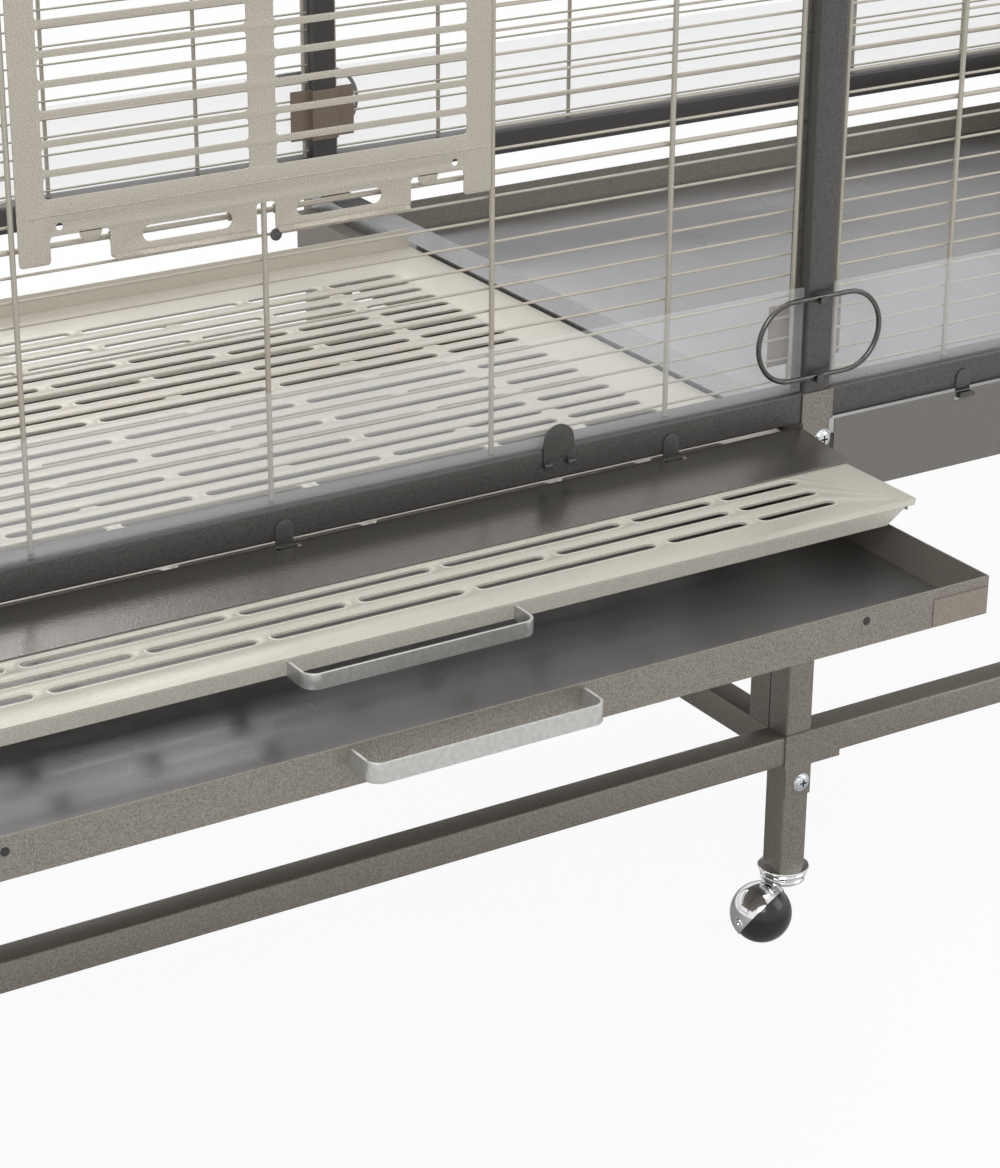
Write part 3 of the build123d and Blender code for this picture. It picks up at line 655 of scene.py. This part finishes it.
@dataclass
class WireMesh:
    """The welded mesh of the front, rear, sides and roof, in round wire."""

    upright: float = 4.0
    row: float = 2.1
    pitch: float = 16.5
    first: float = 485.1
    rows: int = 70
    rod_row: int = 12
    top_row: int = 34
    left: tuple[float, ...] = (16.5, 131.0, 282.5, 640.5, 789.0, 904.5)
    right: tuple[float, ...] = (24.5, 134.6, 282.5, 640.5, 789.0, 904.5)
    front_spans: tuple[Point, ...] = ((-906.5, -14.5), (22.5, 906.5))
    rear_spans: tuple[Point, ...] = ((-906.5, -14.5), (14.5, 906.5))
    beside_doors: tuple[Point, ...] = (
        (-906.5, -638.5),
        (-284.5, -14.5),
        (22.5, 284.5),
        (638.5, 906.5),
    )
    upright_depth: float = 14.0
    rod_depth: float = 18.0
    past_rod: float = 7.0
    side_inset: float = 27.0
    side_x: float = 918.5
    side_first: float = 29.0
    side_pitch: float = 183.0
    side_count: int = 5
    roof_drop: float = 12.0
    roof_half: int = 22

    def level(self, row: int) -> float:
        """The height of a row in mm."""
        return self.first + row * self.pitch

    def across(self, spans: Iterable[Point], y: float, z: float) -> list[Sequence[Place]]:
        """Lays level wires.

        Args:
            spans: The first and last X of each.
            y: Their Y.
            z: Their height.

        Returns:
            The path of each.
        """
        return [((a, y, z), (b, y, z)) for a, b in spans]

    def upward(self, x: float, y: float, low: float, high: float) -> Sequence[Place]:
        """The path of an upright wire at X and Y, from low to high."""
        return (x, y, low), (x, y, high)

    def build(self) -> None:
        """Makes all the wires."""
        depth = self.upright_depth + (self.upright + self.row) / 2
        side_x = POSTS[2] + HALF_TUBE - depth
        front, rear, sides, roof = [], [], [], []
        for row in range(self.rows):
            z = self.level(row)
            if row != self.rod_row:
                split = self.rod_row < row < self.top_row
                spans = self.beside_doors if split else self.front_spans
                front += self.across(spans, inset(-1, depth), z)
            rear += self.across(self.rear_spans, inset(1, depth), z)
            for x in (-side_x, side_x):
                sides.append([(x, inset(end, self.side_inset), z) for end in (-1, 1)])
        z = ROOF_TOP - self.roof_drop - self.upright - self.row / 2
        for row in range(-self.roof_half, self.roof_half + 1):
            roof += self.across(self.rear_spans, (FRONT + REAR) / 2 + row * self.pitch, z)
        for name, paths in (("front", front), ("rear", rear), ("side", sides), ("roof", roof)):
            mesh = wires(paths, self.row)
            add_piece(f"{name}_wires", mesh, "cage_frame", "mesh_coat", f"{name}_rows")
        self.build_uprights()

    def build_uprights(self) -> None:
        """Makes the thick wires and the rods that carry the doors."""
        low, high = FLOOR_TOP, ROOF_TOP - 2 * HALF_TUBE
        front, rear = inset(-1, self.upright_depth), inset(1, self.upright_depth)
        paths = []
        for side, places in ((-1, self.left), (1, self.right)):
            paths += [self.upward(side * x, front, low, high) for x in places]
            paths += [self.upward(side * x, rear, low, high) for x in self.left]
            x = side * DOOR_WIRE_X
            paths.append(self.upward(x, front, low, ROD_Z + self.past_rod))
            paths.append(self.upward(x, front, self.level(self.top_row) - self.row / 2, high))
            for step in range(self.side_count):
                y = inset(-1, self.side_first) + step * self.side_pitch
                paths.append(self.upward(side * self.side_x, y, low, high))
        z = ROOF_TOP - self.roof_drop - self.upright / 2
        ends = (inset(-1, 2 * HALF_TUBE), inset(1, 2 * HALF_TUBE))
        roof = [[(side * x, y, z) for y in ends] for side in (-1, 1) for x in self.left]
        rods = self.across(self.front_spans, inset(-1, self.rod_depth), ROD_Z)
        for name, wire_paths, node in (
            ("upright_wires", paths, "mesh_uprights"),
            ("roof_uprights", roof, "roof_cross_wires"),
            ("door_rods", rods, "hinge_rods"),
        ):
            add_piece(name, wires(wire_paths, self.upright), "cage_frame", "mesh_coat", node)


@dataclass
class Door:
    """A punched door: windows, peep slots, feet, lip and bead."""

    hand: str
    side: int
    width: float = 352.0
    top: float = 369.0
    skirt: float = 8.0
    lip: float = 112.0
    face: float = 10.9
    offset: float = 461.5
    foot: float = 22.0
    foot_drop: float = 10.0
    lip_drop: float = 12.5
    notch: float = 7.0
    corner: float = 3.0
    sheet: float = 1.0
    grip_x: float = 56.5
    grip: Point = (65.0, 11.0)
    peep_x: float = 147.0
    peep_z: float = 14.0
    peep: float = 5.0
    window_x: float = 83.25
    window: Point = (146.5, 14.3)
    window_start: float = 32.5
    window_pitch: float = 19.0
    window_rows: int = 16
    bead_z: float = 22.0
    bead: float = 1.4
    tongue_x: float = 125.5

    def outline(self, middle: float) -> list[Point]:
        """The sheet's outline with its lip, feet and notch.

        Args:
            middle: The door's middle, in mm.

        Returns:
            The rounded outline.
        """
        half, foot = self.width / 2, self.foot
        base, foot_z, lip_z = ROD_Z + self.skirt, ROD_Z - self.foot_drop, ROD_Z - self.lip_drop
        notch = self.side * DOOR_WIRE_X
        corners = [
            (middle - half, ROD_Z + self.top),
            (middle - half, foot_z),
            (middle - half + foot, foot_z),
            (middle - half + foot, base),
            (middle - self.lip, base),
            (middle - self.lip, lip_z),
            (notch - self.notch, lip_z),
            (notch - self.notch, base),
            (notch + self.notch, base),
            (notch + self.notch, lip_z),
            (middle + self.lip, lip_z),
            (middle + self.lip, base),
            (middle + half - foot, base),
            (middle + half - foot, foot_z),
            (middle + half, foot_z),
            (middle + half, ROD_Z + self.top),
        ]
        return filleted(corners, self.corner)

    def build(self) -> None:
        """Makes the door and rides it on its body."""
        middle = self.side * self.offset
        level = FRONT + self.face
        width, height = self.window
        loops = [self.outline(middle)]
        for way in (-1, 1):
            loops.append(rounded(middle + way * self.grip_x, ROD_Z, *self.grip, 5.4, 5))
            x, z = middle + way * self.peep_x, ROD_Z + self.peep_z
            loops.append(rounded(x, z, self.peep, self.peep, 2.4, 3))
            for row in range(self.window_rows):
                z = ROD_Z + self.window_start + self.window_pitch * row + height / 2
                loops.append(rounded(middle + way * self.window_x, z, width, height, 2.6, 3))
        parts = [panel(loops, Facing.FRONT, level, self.sheet)]
        reach, z = self.width / 2 - 4.0, ROD_Z + self.bead_z
        bead = [(middle + way * reach, level - self.sheet / 2, z) for way in (-1, 1)]
        parts.append(wires([bead], self.bead))
        for way in (-1, 1):
            x = middle + way * self.tongue_x
            tongue = [(x - 8.0, ROD_Z + 9.0), (x + 8.0, ROD_Z + 9.0)]
            tongue += arch(x, ROD_Z + 8.0, 8.0, -7.0, 8)
            parts.append(panel([tongue], Facing.FRONT, level, self.sheet))
        parts += [self.lip_fold(a, b) for a, b in self.lip_spans(middle)]
        body = f"door_{self.hand}"
        add_piece(f"door_sheet_{self.hand}", joined(parts), body, "door_coat", body)

    def lip_spans(self, middle: float) -> tuple[Point, Point]:
        """The start and end of the fold each side of the notch."""
        notch = self.side * DOOR_WIRE_X
        return (middle - self.lip + 2.0, notch - 8.0), (notch + 8.0, middle + self.lip - 2.0)

    def lip_fold(self, start: float, end: float) -> bpy.types.Mesh:
        """Folds the lip's lower edge forward.

        Args:
            start: Its first X, in mm.
            end: Its last X.

        Returns:
            The mesh.
        """
        y, z = FRONT + self.face - 0.5, ROD_Z - 12.4
        section = [(0.2, 1.0), (-3.6, -0.6), (-3.9, 0.3), (-0.2, 2.4)]
        points = [(x, y + dy, z + dz) for x in (start, end) for dy, dz in section]
        faces = [(0, 1, 2, 3), (7, 6, 5, 4)]
        faces += [(i, (i + 1) % 4, 4 + (i + 1) % 4, 4 + i) for i in range(4)]
        return mesh_of(points, faces)


@dataclass
class Grate:
    """The slotted plate of the left bay, each slot with a pressed rim."""

    left: float = -901.0
    right: float = -19.0
    front: float = FRONT - 153.0
    depth: float = 728.0
    top: float = 443.0
    module: float = 78.4
    bridge: float = 12.0
    slot: float = 9.0
    first: float = 34.0
    pitch: float = 22.4
    last: float = 60.0
    rim: float = 2.4
    lap: float = 0.3
    sheet: float = 1.0
    cut: float = 8.0

    def slots(self) -> list[tuple[float, float, float]]:
        """The middle and the length of every slot.

        Returns:
            X, Y and length of each, in mm.
        """
        out = []
        rows = int((self.depth - self.first - self.last) // self.pitch) + 1
        middle = (self.left + self.right) / 2
        for row in range(rows):
            pattern = (1, 1, 2, 2, 2, 1, 1) if row % 2 == 0 else (1, 2, 2, 2, 2, 1)
            x = middle + (sum(pattern) * self.module - self.bridge) / 2
            for span in pattern:
                length = span * self.module - self.bridge
                out.append((x - length / 2, self.front + self.first + row * self.pitch, length))
                x -= span * self.module
        return out

    def rims(self, slots: Sequence[tuple[float, float, float]]) -> bpy.types.Mesh:
        """Presses a low rim round every slot.

        Args:
            slots: X, Y and length of each.

        Returns:
            The mesh of all the rims.
        """
        inner = ((0.0, -0.4), (0.0, -2.2), (0.8, -2.2))
        profile = ((self.rim, -0.1), (1.4, 0.2), (0.6, 0.18), *inner, (self.rim, -0.95))
        points, faces = [], []
        for x, y, length in slots:
            start = len(points)
            for grow, rise in profile:
                loop = slotted(x, y, length + 2 * grow, self.slot + 2 * grow)
                points += [(px, py, self.top + rise) for px, py in loop]
            count = len(loop)
            for ring in range(len(profile)):
                a = start + ring * count
                b = start + (ring + 1) % len(profile) * count
                for i in range(count):
                    j = (i + 1) % count
                    faces.append((a + i, a + j, b + j, b + i))
        return mesh_of(points, faces)

    def build(self) -> None:
        """Makes the plate with its slots and rims."""
        slots = self.slots()
        back = self.front + self.depth
        corners = [
            (self.left, self.front + self.cut),
            (self.left + self.cut, self.front),
            (self.right - self.cut, self.front),
            (self.right, self.front + self.cut),
            (self.right, back),
            (self.left, back),
        ]
        loops = [filleted(corners, 2.0)]
        wider = 2 * self.rim - self.lap
        loops += [slotted(x, y, length + wider, self.slot + wider) for x, y, length in slots]
        plate = panel(loops, Facing.TOP, self.top - self.sheet / 2, self.sheet)
        mesh = joined([plate, self.rims(slots)])
        add_piece("slotted_plate", mesh, "grate_left", "grate_coat", "grate_left")


@dataclass
class Fittings:
    """Clips, hooks, screws, feeder rings and tray floors."""

    hooks: tuple[float, ...] = (-787.0, -459.0, -134.6, 144.0, 460.0, 776.0)
    clips: tuple[float, ...] = (-686.0, -234.0, 234.0, 686.0)
    sheet: float = 1.2
    hook_half: float = 7.0
    hook_base: float = 447.3
    hook_top: float = 469.0
    clip_half: float = 13.0
    curl: float = 3.6
    ring: Point = (113.0, 62.0)
    ring_wire: float = 4.0
    tray_floor: Point = (846.0, 721.0)
    # Middles of the tray's holes, each drawn as a black disc of painted shade.
    tray_hole_shades: tuple[Point, ...] = ((-142.7, 413.0), (-777.3, 413.0))
    stops: tuple[Point, ...] = ((-453.0, 667.6), (453.0, 667.6))
    screw_rows: tuple[Point, ...] = ((438.0, 6.0), (144.5, 3.0))

    def build(self) -> None:
        """Makes all the fittings of the cage."""
        self.build_clips()
        self.build_hooks()
        self.build_screws()
        for end, name, nodes in ((-1, "front", ("feeder_rings",)), (1, "rear", ())):
            loop = rounded(-5.0, FLOOR_TOP + 45.0, *self.ring, 30.9, 10)
            mesh = wires([[(x, inset(end, -6.0), z) for x, z in loop]], self.ring_wire, closed=True)
            add_piece(f"feeder_ring_{name}", mesh, "cage_frame", "spring_wire", *nodes)
        # Painted shade: each tray hole is a thin black disc on the tray's front, dark where the
        # real hole shows the shaded inside.
        holes = [rounded(x, z, 6.0, 6.0, 2.9, 4) for x, z in self.tray_hole_shades]
        hole_shades = [panel([hole], Facing.FRONT, FRONT - 247.1, 0.5, 0.1) for hole in holes]
        add_piece("tray_hole_shades", joined(hole_shades), "tray_left", "cap_plastic")
        discs = [rounded(x, z, 8.6, 8.6, 4.2, 5) for x, z in self.stops]
        stops = [panel([disc], Facing.FRONT, FRONT + 11.4, 1.0) for disc in discs]
        add_piece("wire_stops", joined(stops), "cage_frame", "frame_coat", finish="rail_coat")
        self.build_floors()

    def build_floors(self) -> None:
        """Lays the glossy coat on the floor of each tray."""
        for hand, side, start in (("left", -1, FRONT - 247.0), ("right", 1, FRONT + 36.0)):
            sheet = rounded(side * 460.0, start + 362.5, *self.tray_floor, 2.0, 2)
            mesh = panel([sheet], Facing.TOP, 395.4, 0.2, 0.05)
            add_piece(f"tray_floor_{hand}", mesh, f"tray_{hand}", "tray_coat", finish="tray_floor")

    def build_clips(self) -> None:
        """Makes the round-topped clips of the clear strips."""
        parts = []
        half, foot = self.clip_half, self.clip_half - 6.0
        base, low = FLOOR_TOP - 8.0, FLOOR_TOP - 14.0
        for x in self.clips:
            loop = [(x - half, base), (x - half, low), (x - foot, low), (x - foot, base)]
            loop += [(x + foot, base), (x + foot, low), (x + half, low), (x + half, base)]
            loop += arch(x, FLOOR_TOP + 4.6, half, half - 0.1, 12)
            parts.append(panel([loop], Facing.FRONT, FRONT - self.sheet / 2, self.sheet))
            y, z = FRONT - 2.0, low + 1.6
            curls = [[(x + a, y, z), (x + b, y, z)] for a, b in ((-half, -foot), (foot, half))]
            parts.append(wires(curls, self.curl))
        mesh = joined(parts)
        add_piece(
            "round_clips", mesh, "cage_frame", "frame_coat", "guard_clips", finish="rail_coat"
        )

    def build_hooks(self) -> None:
        """Makes the hooks that the flaps hang from."""
        parts = []
        half, base = self.hook_half, self.hook_base
        for x in self.hooks:
            loop = [(x - half, base), (x + half, base)]
            loop += arch(x, self.hook_top - half, half, half, 8)
            tab = rounded(x, FRONT - 3.6, 2 * half, 7.0, 1.2, 3)
            tip = rounded(x, base + 2.2, 2 * half, 4.4, 1.4, 3)
            parts.append(panel([loop], Facing.FRONT, FRONT - self.sheet / 2, self.sheet))
            parts.append(panel([tab], Facing.TOP, base + self.sheet / 2, self.sheet))
            parts.append(panel([tip], Facing.FRONT, FRONT - 6.4, 1.1))
        mesh = joined(parts)
        add_piece(
            "flap_hangers", mesh, "cage_frame", "frame_coat", "flap_hooks", finish="rail_coat"
        )

    def build_screws(self) -> None:
        """Makes the domed screws, each with a thin black cross on it as the painted shade of its
        cross recess.
        """
        dome = [(0.0, 7.8), (0.7, 7.8), (0.8, 7.0), (1.6, 6.6), (2.7, 5.2), (3.3, 3.2), (3.5, 0.05)]
        parts, recess_shades = [], []
        for end in (-1, 1):
            y = inset(end, -1.5)
            turned = [(end * along, radius) for along, radius in dome]
            for x, inward in zip(POSTS, (1, 1, -1)):
                for z, offset in self.screw_rows:
                    middle = x + inward * offset
                    parts.append(lathed(turned, (middle, y, z), Axis.Y, 24))
                    for wide, high in ((6.4, 1.5), (1.5, 6.4)):
                        # Painted shade: a thin black cross on the dome stands for the dark hollow
                        # of the recess.
                        arm = rounded(middle, z, wide, high, 0.2, 2)
                        recess_shades.append(panel([arm], Facing.FRONT, y + end * 3.38, 0.3, 0.05))
        add_piece("domed_screws", joined(parts), "cage_frame", "zinc", "bracket_screws")
        add_piece("screw_recess_shades", joined(recess_shades), "cage_frame", "cap_plastic")


@dataclass
class Caster:
    """A ball in a bright hood under one leg."""

    number: int
    x: float
    y: float
    trail: float
    ball: float = 25.0
    hood: float = 25.95
    shell: float = 0.6
    hood_foot: float = 8.0
    cup_z: float = 51.2

    def build(self) -> None:
        """Makes the ball and the hood."""
        centre = (self.x + self.trail, self.y, self.ball)
        radius = self.ball - 0.05
        ball = lathed(self.arc(radius), (centre[0], centre[1], radius), Axis.Y, 56)
        name = f"caster_ball_{self.number}"
        add_piece(f"wheel_{self.number}", ball, name, "caster_black", name)
        hood = self.clipped(lathed(self.arc(self.hood), centre, Axis.Y, 56))
        rim = [(0.0, 9.0), (0.3, 16.4), (1.6, 18.2), (3.4, 18.6), (4.6, 17.4), (5.0, 16.6)]
        rim += [(5.8, 17.6), (7.4, 19.4), (9.2, 19.9), (10.6, 19.0), (10.9, 16.0), (10.9, 0.05)]
        cup = lathed(rim, (self.x, self.y, self.cup_z), Axis.Z, 48)
        mesh = joined([hood, cup, self.rivet(centre)])
        body = f"caster_swivel_{self.number}"
        add_piece(f"hood_{self.number}", mesh, body, "caster_chrome", f"caster_hood_{self.number}")

    def rivet(self, centre: Place) -> bpy.types.Mesh:
        """Makes the axle's riveted end on the closed side of the hood.

        Args:
            centre: The ball's centre, in mm.

        Returns:
            The mesh.
        """
        profile = [(25.4, 5.4), (26.4, 5.2), (26.8, 4.2), (27.0, 3.0)]
        profile += [(27.7, 2.6), (28.0, 1.4), (28.0, 0.05)]
        mesh = lathed(profile, (0.0, 0.0, 0.0), Axis.Z, 24)
        away = Vector((math.copysign(0.97, self.trail), -0.1, -0.1))
        turn = away.to_track_quat("Z", "Y").to_matrix().to_4x4()
        mesh.transform(Matrix.Translation(Vector(centre) * MM) @ turn)
        return mesh

    def arc(self, radius: float, steps: int = 24) -> list[Point]:
        """Half a circle from pole to pole.

        Args:
            radius: Its radius, in mm.
            steps: Its parts.

        Returns:
            Pairs of distance along the axle and radius.
        """
        turns = [math.radians(-88 + 176 * step / steps) for step in range(steps + 1)]
        return [(radius * math.sin(turn), radius * math.cos(turn)) for turn in turns]

    def clipped(self, mesh: bpy.types.Mesh) -> bpy.types.Mesh:
        """Opens the shell below and gives it thickness.

        Args:
            mesh: The whole shell.

        Returns:
            The hood.
        """
        work = bmesh.new()
        work.from_mesh(mesh)
        to_leg = -math.copysign(1.0, self.trail)
        middle = Vector((self.x + self.trail + to_leg, self.y, self.ball)) * MM
        slanting = (to_leg * 0.35, math.copysign(0.75, self.y), -0.56)
        low = Vector((0.0, 0.0, self.hood_foot * MM))
        for place, normal in ((middle, slanting), (low, (0.0, 0.0, -1.0))):
            geometry = work.verts[:] + work.edges[:] + work.faces[:]
            bmesh.ops.bisect_plane(
                work, geom=geometry, plane_co=place, plane_no=normal, clear_outer=True
            )
        bmesh.ops.recalc_face_normals(work, faces=work.faces)
        bmesh.ops.solidify(work, geom=work.faces[:], thickness=self.shell * MM)
        edge = [e for e in work.edges if e.calc_face_angle(0.0) > 1.0]
        bmesh.ops.bevel(work, geom=edge, offset=self.shell / 3 * MM, segments=2, affect="EDGES")
        bmesh.ops.recalc_face_normals(work, faces=work.faces)
        work.to_mesh(mesh)
        work.free()
        return mesh


@dataclass
class CasterSockets:
    """The bright flanges under the legs."""

    radius: float = 21.0

    def build(self) -> None:
        """Makes six flanges."""
        edge = self.radius
        profile = [(62.5, 8.6), (62.5, edge - 1.2), (62.9, edge - 0.3), (63.7, edge)]
        profile += [(64.6, edge - 0.4), (65.0, edge - 2.0), (65.0, 0.05)]
        parts = []
        for x in POSTS:
            for y in (inset(-1, HALF_TUBE), inset(1, HALF_TUBE)):
                parts.append(lathed(profile, (x, y, 0.0), "z", 48))
        add_piece("leg_flanges", joined(parts), "cage_frame", "caster_chrome", "caster_sockets")


SLOT_RULES = (
    ("door_catch", "spring_wire"),
    ("door_", "door_coat"),
    ("clamp_", "clamp_coat"),
    ("seed_guards", "clear_guard"),
    ("tray_plate", "tray_plate"),
    ("tray_handle", "handle_metal"),
    ("grate_handle", "handle_metal"),
    ("tray_ledges", "runner_metal"),
    ("tray_", "tray_coat"),
    ("grate_", "grate_coat"),
    ("flap_", "flap_coat"),
    ("centre_runner", "runner_metal"),
    ("ring_lugs", "spring_wire"),
    ("post_caps", "cap_plastic"),
)


@dataclass
class KeptNodes:
    """The solids that keep their shape: each gets its coat and softened edges."""

    edge: float = 0.35

    def slot_of(self, name: str) -> str:
        """The material slot of a solid: the first rule that its name starts with.

        Args:
            name: The solid's name.

        Returns:
            The slot.
        """
        return next((slot for start, slot in SLOT_RULES if name.startswith(start)), "frame_coat")

    def build(self) -> None:
        """Dresses every solid that still shows."""
        for name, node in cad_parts.items():
            if node.hide_render:
                continue
            finish = FINISHES[self.slot_of(name)]
            node.data.materials.clear()
            node.data.materials.append(finish.material())
            weld = node.modifiers.new("weld", "WELD")
            weld.merge_threshold = WELD_M
            bevel = node.modifiers.new("edge", "BEVEL")
            bevel.width = self.edge * MM
            bevel.segments = 2
            bevel.limit_method = "ANGLE"
            bevel.harden_normals = True
            LOG.info("%s keeps its solid in %s", name, finish.name)


@dataclass
class Studio:
    """Pale floor, soft lamps and the camera at the photograph's angle."""

    eye: Place = (-1.3684, -1.98883, 1.25889)
    yaw: float = 32.0077
    pitch: float = -24.2091
    roll: float = 0.2823
    lens: float = 94.114
    shift: Point = (0.00777, 0.04105)
    glow: float = 0.94
    reach: float = 9000.0
    lamps: tuple[tuple[str, Place, float, float], ...] = (
        ("key", (-2.4, -3.4, 3.6), 2.4, 80.0),
        ("fill", (3.0, -2.6, 2.4), 2.4, 26.0),
        ("top", (0.2, 0.4, 4.4), 3.0, 70.0),
        ("back", (0.55, 4.6, 4.3), 2.7, 75.0),
    )

    def build(self) -> None:
        """Makes the camera, the floor, the lamps and the sky."""
        bpy.context.scene.view_settings.view_transform = "Standard"
        self.camera()
        self.floor()
        for name, place, size, power in self.lamps:
            self.lamp(name, place, size, power)
        self.sky()

    def camera(self) -> None:
        """Puts the camera where the photograph was taken from."""
        data = bpy.data.cameras.new("camera")
        data.lens = self.lens
        data.sensor_width = 36.0
        data.shift_x, data.shift_y = self.shift
        data.clip_start, data.clip_end = 0.05, 60.0
        yaw, pitch, roll = (math.radians(v) for v in (self.yaw, self.pitch, self.roll))
        level = math.cos(pitch)
        ahead = Vector((math.sin(yaw) * level, math.cos(yaw) * level, math.sin(pitch)))
        right = ahead.cross(Vector((0, 0, 1))).normalized()
        up = right.cross(ahead)
        across = right * math.cos(roll) + up * math.sin(roll)
        upward = up * math.cos(roll) - right * math.sin(roll)
        camera = placed("camera", data)
        turn = Matrix((across, upward, -ahead)).transposed().to_4x4()
        camera.matrix_world = Matrix.Translation(self.eye) @ turn
        bpy.context.scene.camera = camera

    def floor(self) -> None:
        """Lays the floor, almost white, that keeps a soft shadow."""
        far = self.reach
        corners = [(-far, -far, 0), (far, -far, 0), (far, far, 0), (-far, far, 0)]
        mesh = mesh_of(corners, [(0, 1, 2, 3)], False)
        floor = placed("floor", mesh)
        made = bpy.data.materials.new("floor")
        made.use_nodes = True
        tree = made.node_tree
        shader = tree.nodes["Principled BSDF"]
        shader.inputs["Base Color"].default_value = (0.86, 0.86, 0.86, 1.0)
        shader.inputs["Roughness"].default_value = 0.9
        glow = tree.nodes.new("ShaderNodeEmission")
        mix = tree.nodes.new("ShaderNodeMixShader")
        rays = tree.nodes.new("ShaderNodeLightPath")
        seen = tree.nodes.new("ShaderNodeMath")
        seen.operation = "MULTIPLY"
        seen.inputs[1].default_value = self.glow
        tree.links.new(rays.outputs["Is Camera Ray"], seen.inputs[0])
        tree.links.new(seen.outputs[0], mix.inputs["Fac"])
        tree.links.new(shader.outputs[0], mix.inputs[1])
        tree.links.new(glow.outputs[0], mix.inputs[2])
        tree.links.new(mix.outputs[0], tree.nodes["Material Output"].inputs["Surface"])
        mesh.materials.append(made)

    def lamp(self, name: str, place: Place, size: float, power: float) -> None:
        """Hangs a soft lamp that looks at the aviary.

        Args:
            name: Its name.
            place: Where it hangs, in m.
            size: Its side, in m.
            power: Its power, in W.
        """
        data = bpy.data.lights.new(name, "AREA")
        data.size = size
        data.energy = power
        lamp = placed(name, data)
        lamp.location = place
        lamp.rotation_mode = "QUATERNION"
        lamp.rotation_quaternion = (Vector((0, 0, 0.5)) - Vector(place)).to_track_quat("-Z", "Y")
        lamp.visible_camera = False

    def sky(self) -> None:
        """Surrounds the aviary with soft light that looks white in mirrors."""
        world = bpy.data.worlds.new("studio")
        bpy.context.scene.world = world
        world.use_nodes = True
        tree = world.node_tree
        soft = tree.nodes["Background"]
        soft.inputs["Color"].default_value = (1, 1, 1, 1)
        soft.inputs["Strength"].default_value = 0.5
        white = tree.nodes.new("ShaderNodeBackground")
        white.inputs["Color"].default_value = (1, 1, 1, 1)
        rays = tree.nodes.new("ShaderNodeLightPath")
        either = tree.nodes.new("ShaderNodeMath")
        either.operation = "MAXIMUM"
        tree.links.new(rays.outputs["Is Camera Ray"], either.inputs[0])
        tree.links.new(rays.outputs["Is Glossy Ray"], either.inputs[1])
        mix = tree.nodes.new("ShaderNodeMixShader")
        tree.links.new(either.outputs[0], mix.inputs["Fac"])
        tree.links.new(soft.outputs[0], mix.inputs[1])
        tree.links.new(white.outputs[0], mix.inputs[2])
        tree.links.new(mix.outputs[0], tree.nodes["World Output"].inputs["Surface"])


def main() -> None:
    logging.basicConfig(level=logging.INFO, format="%(name)s: %(message)s")
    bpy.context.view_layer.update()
    Studio().build()
    FrameTubes().build()
    WireMesh().build()
    for hand, side in (("left", -1), ("right", 1)):
        Door(hand, side).build()
    Grate().build()
    Fittings().build()
    spots = [(x, inset(end, HALF_TUBE)) for x in POSTS for end in (-1, 1)]
    for number, (x, y) in enumerate(spots, start=1):
        Caster(number, x, y, BALL_TRAIL if x < 0 else -BALL_TRAIL).build()
    CasterSockets().build()
    KeptNodes().build()


if __name__ == "__main__":
    main()
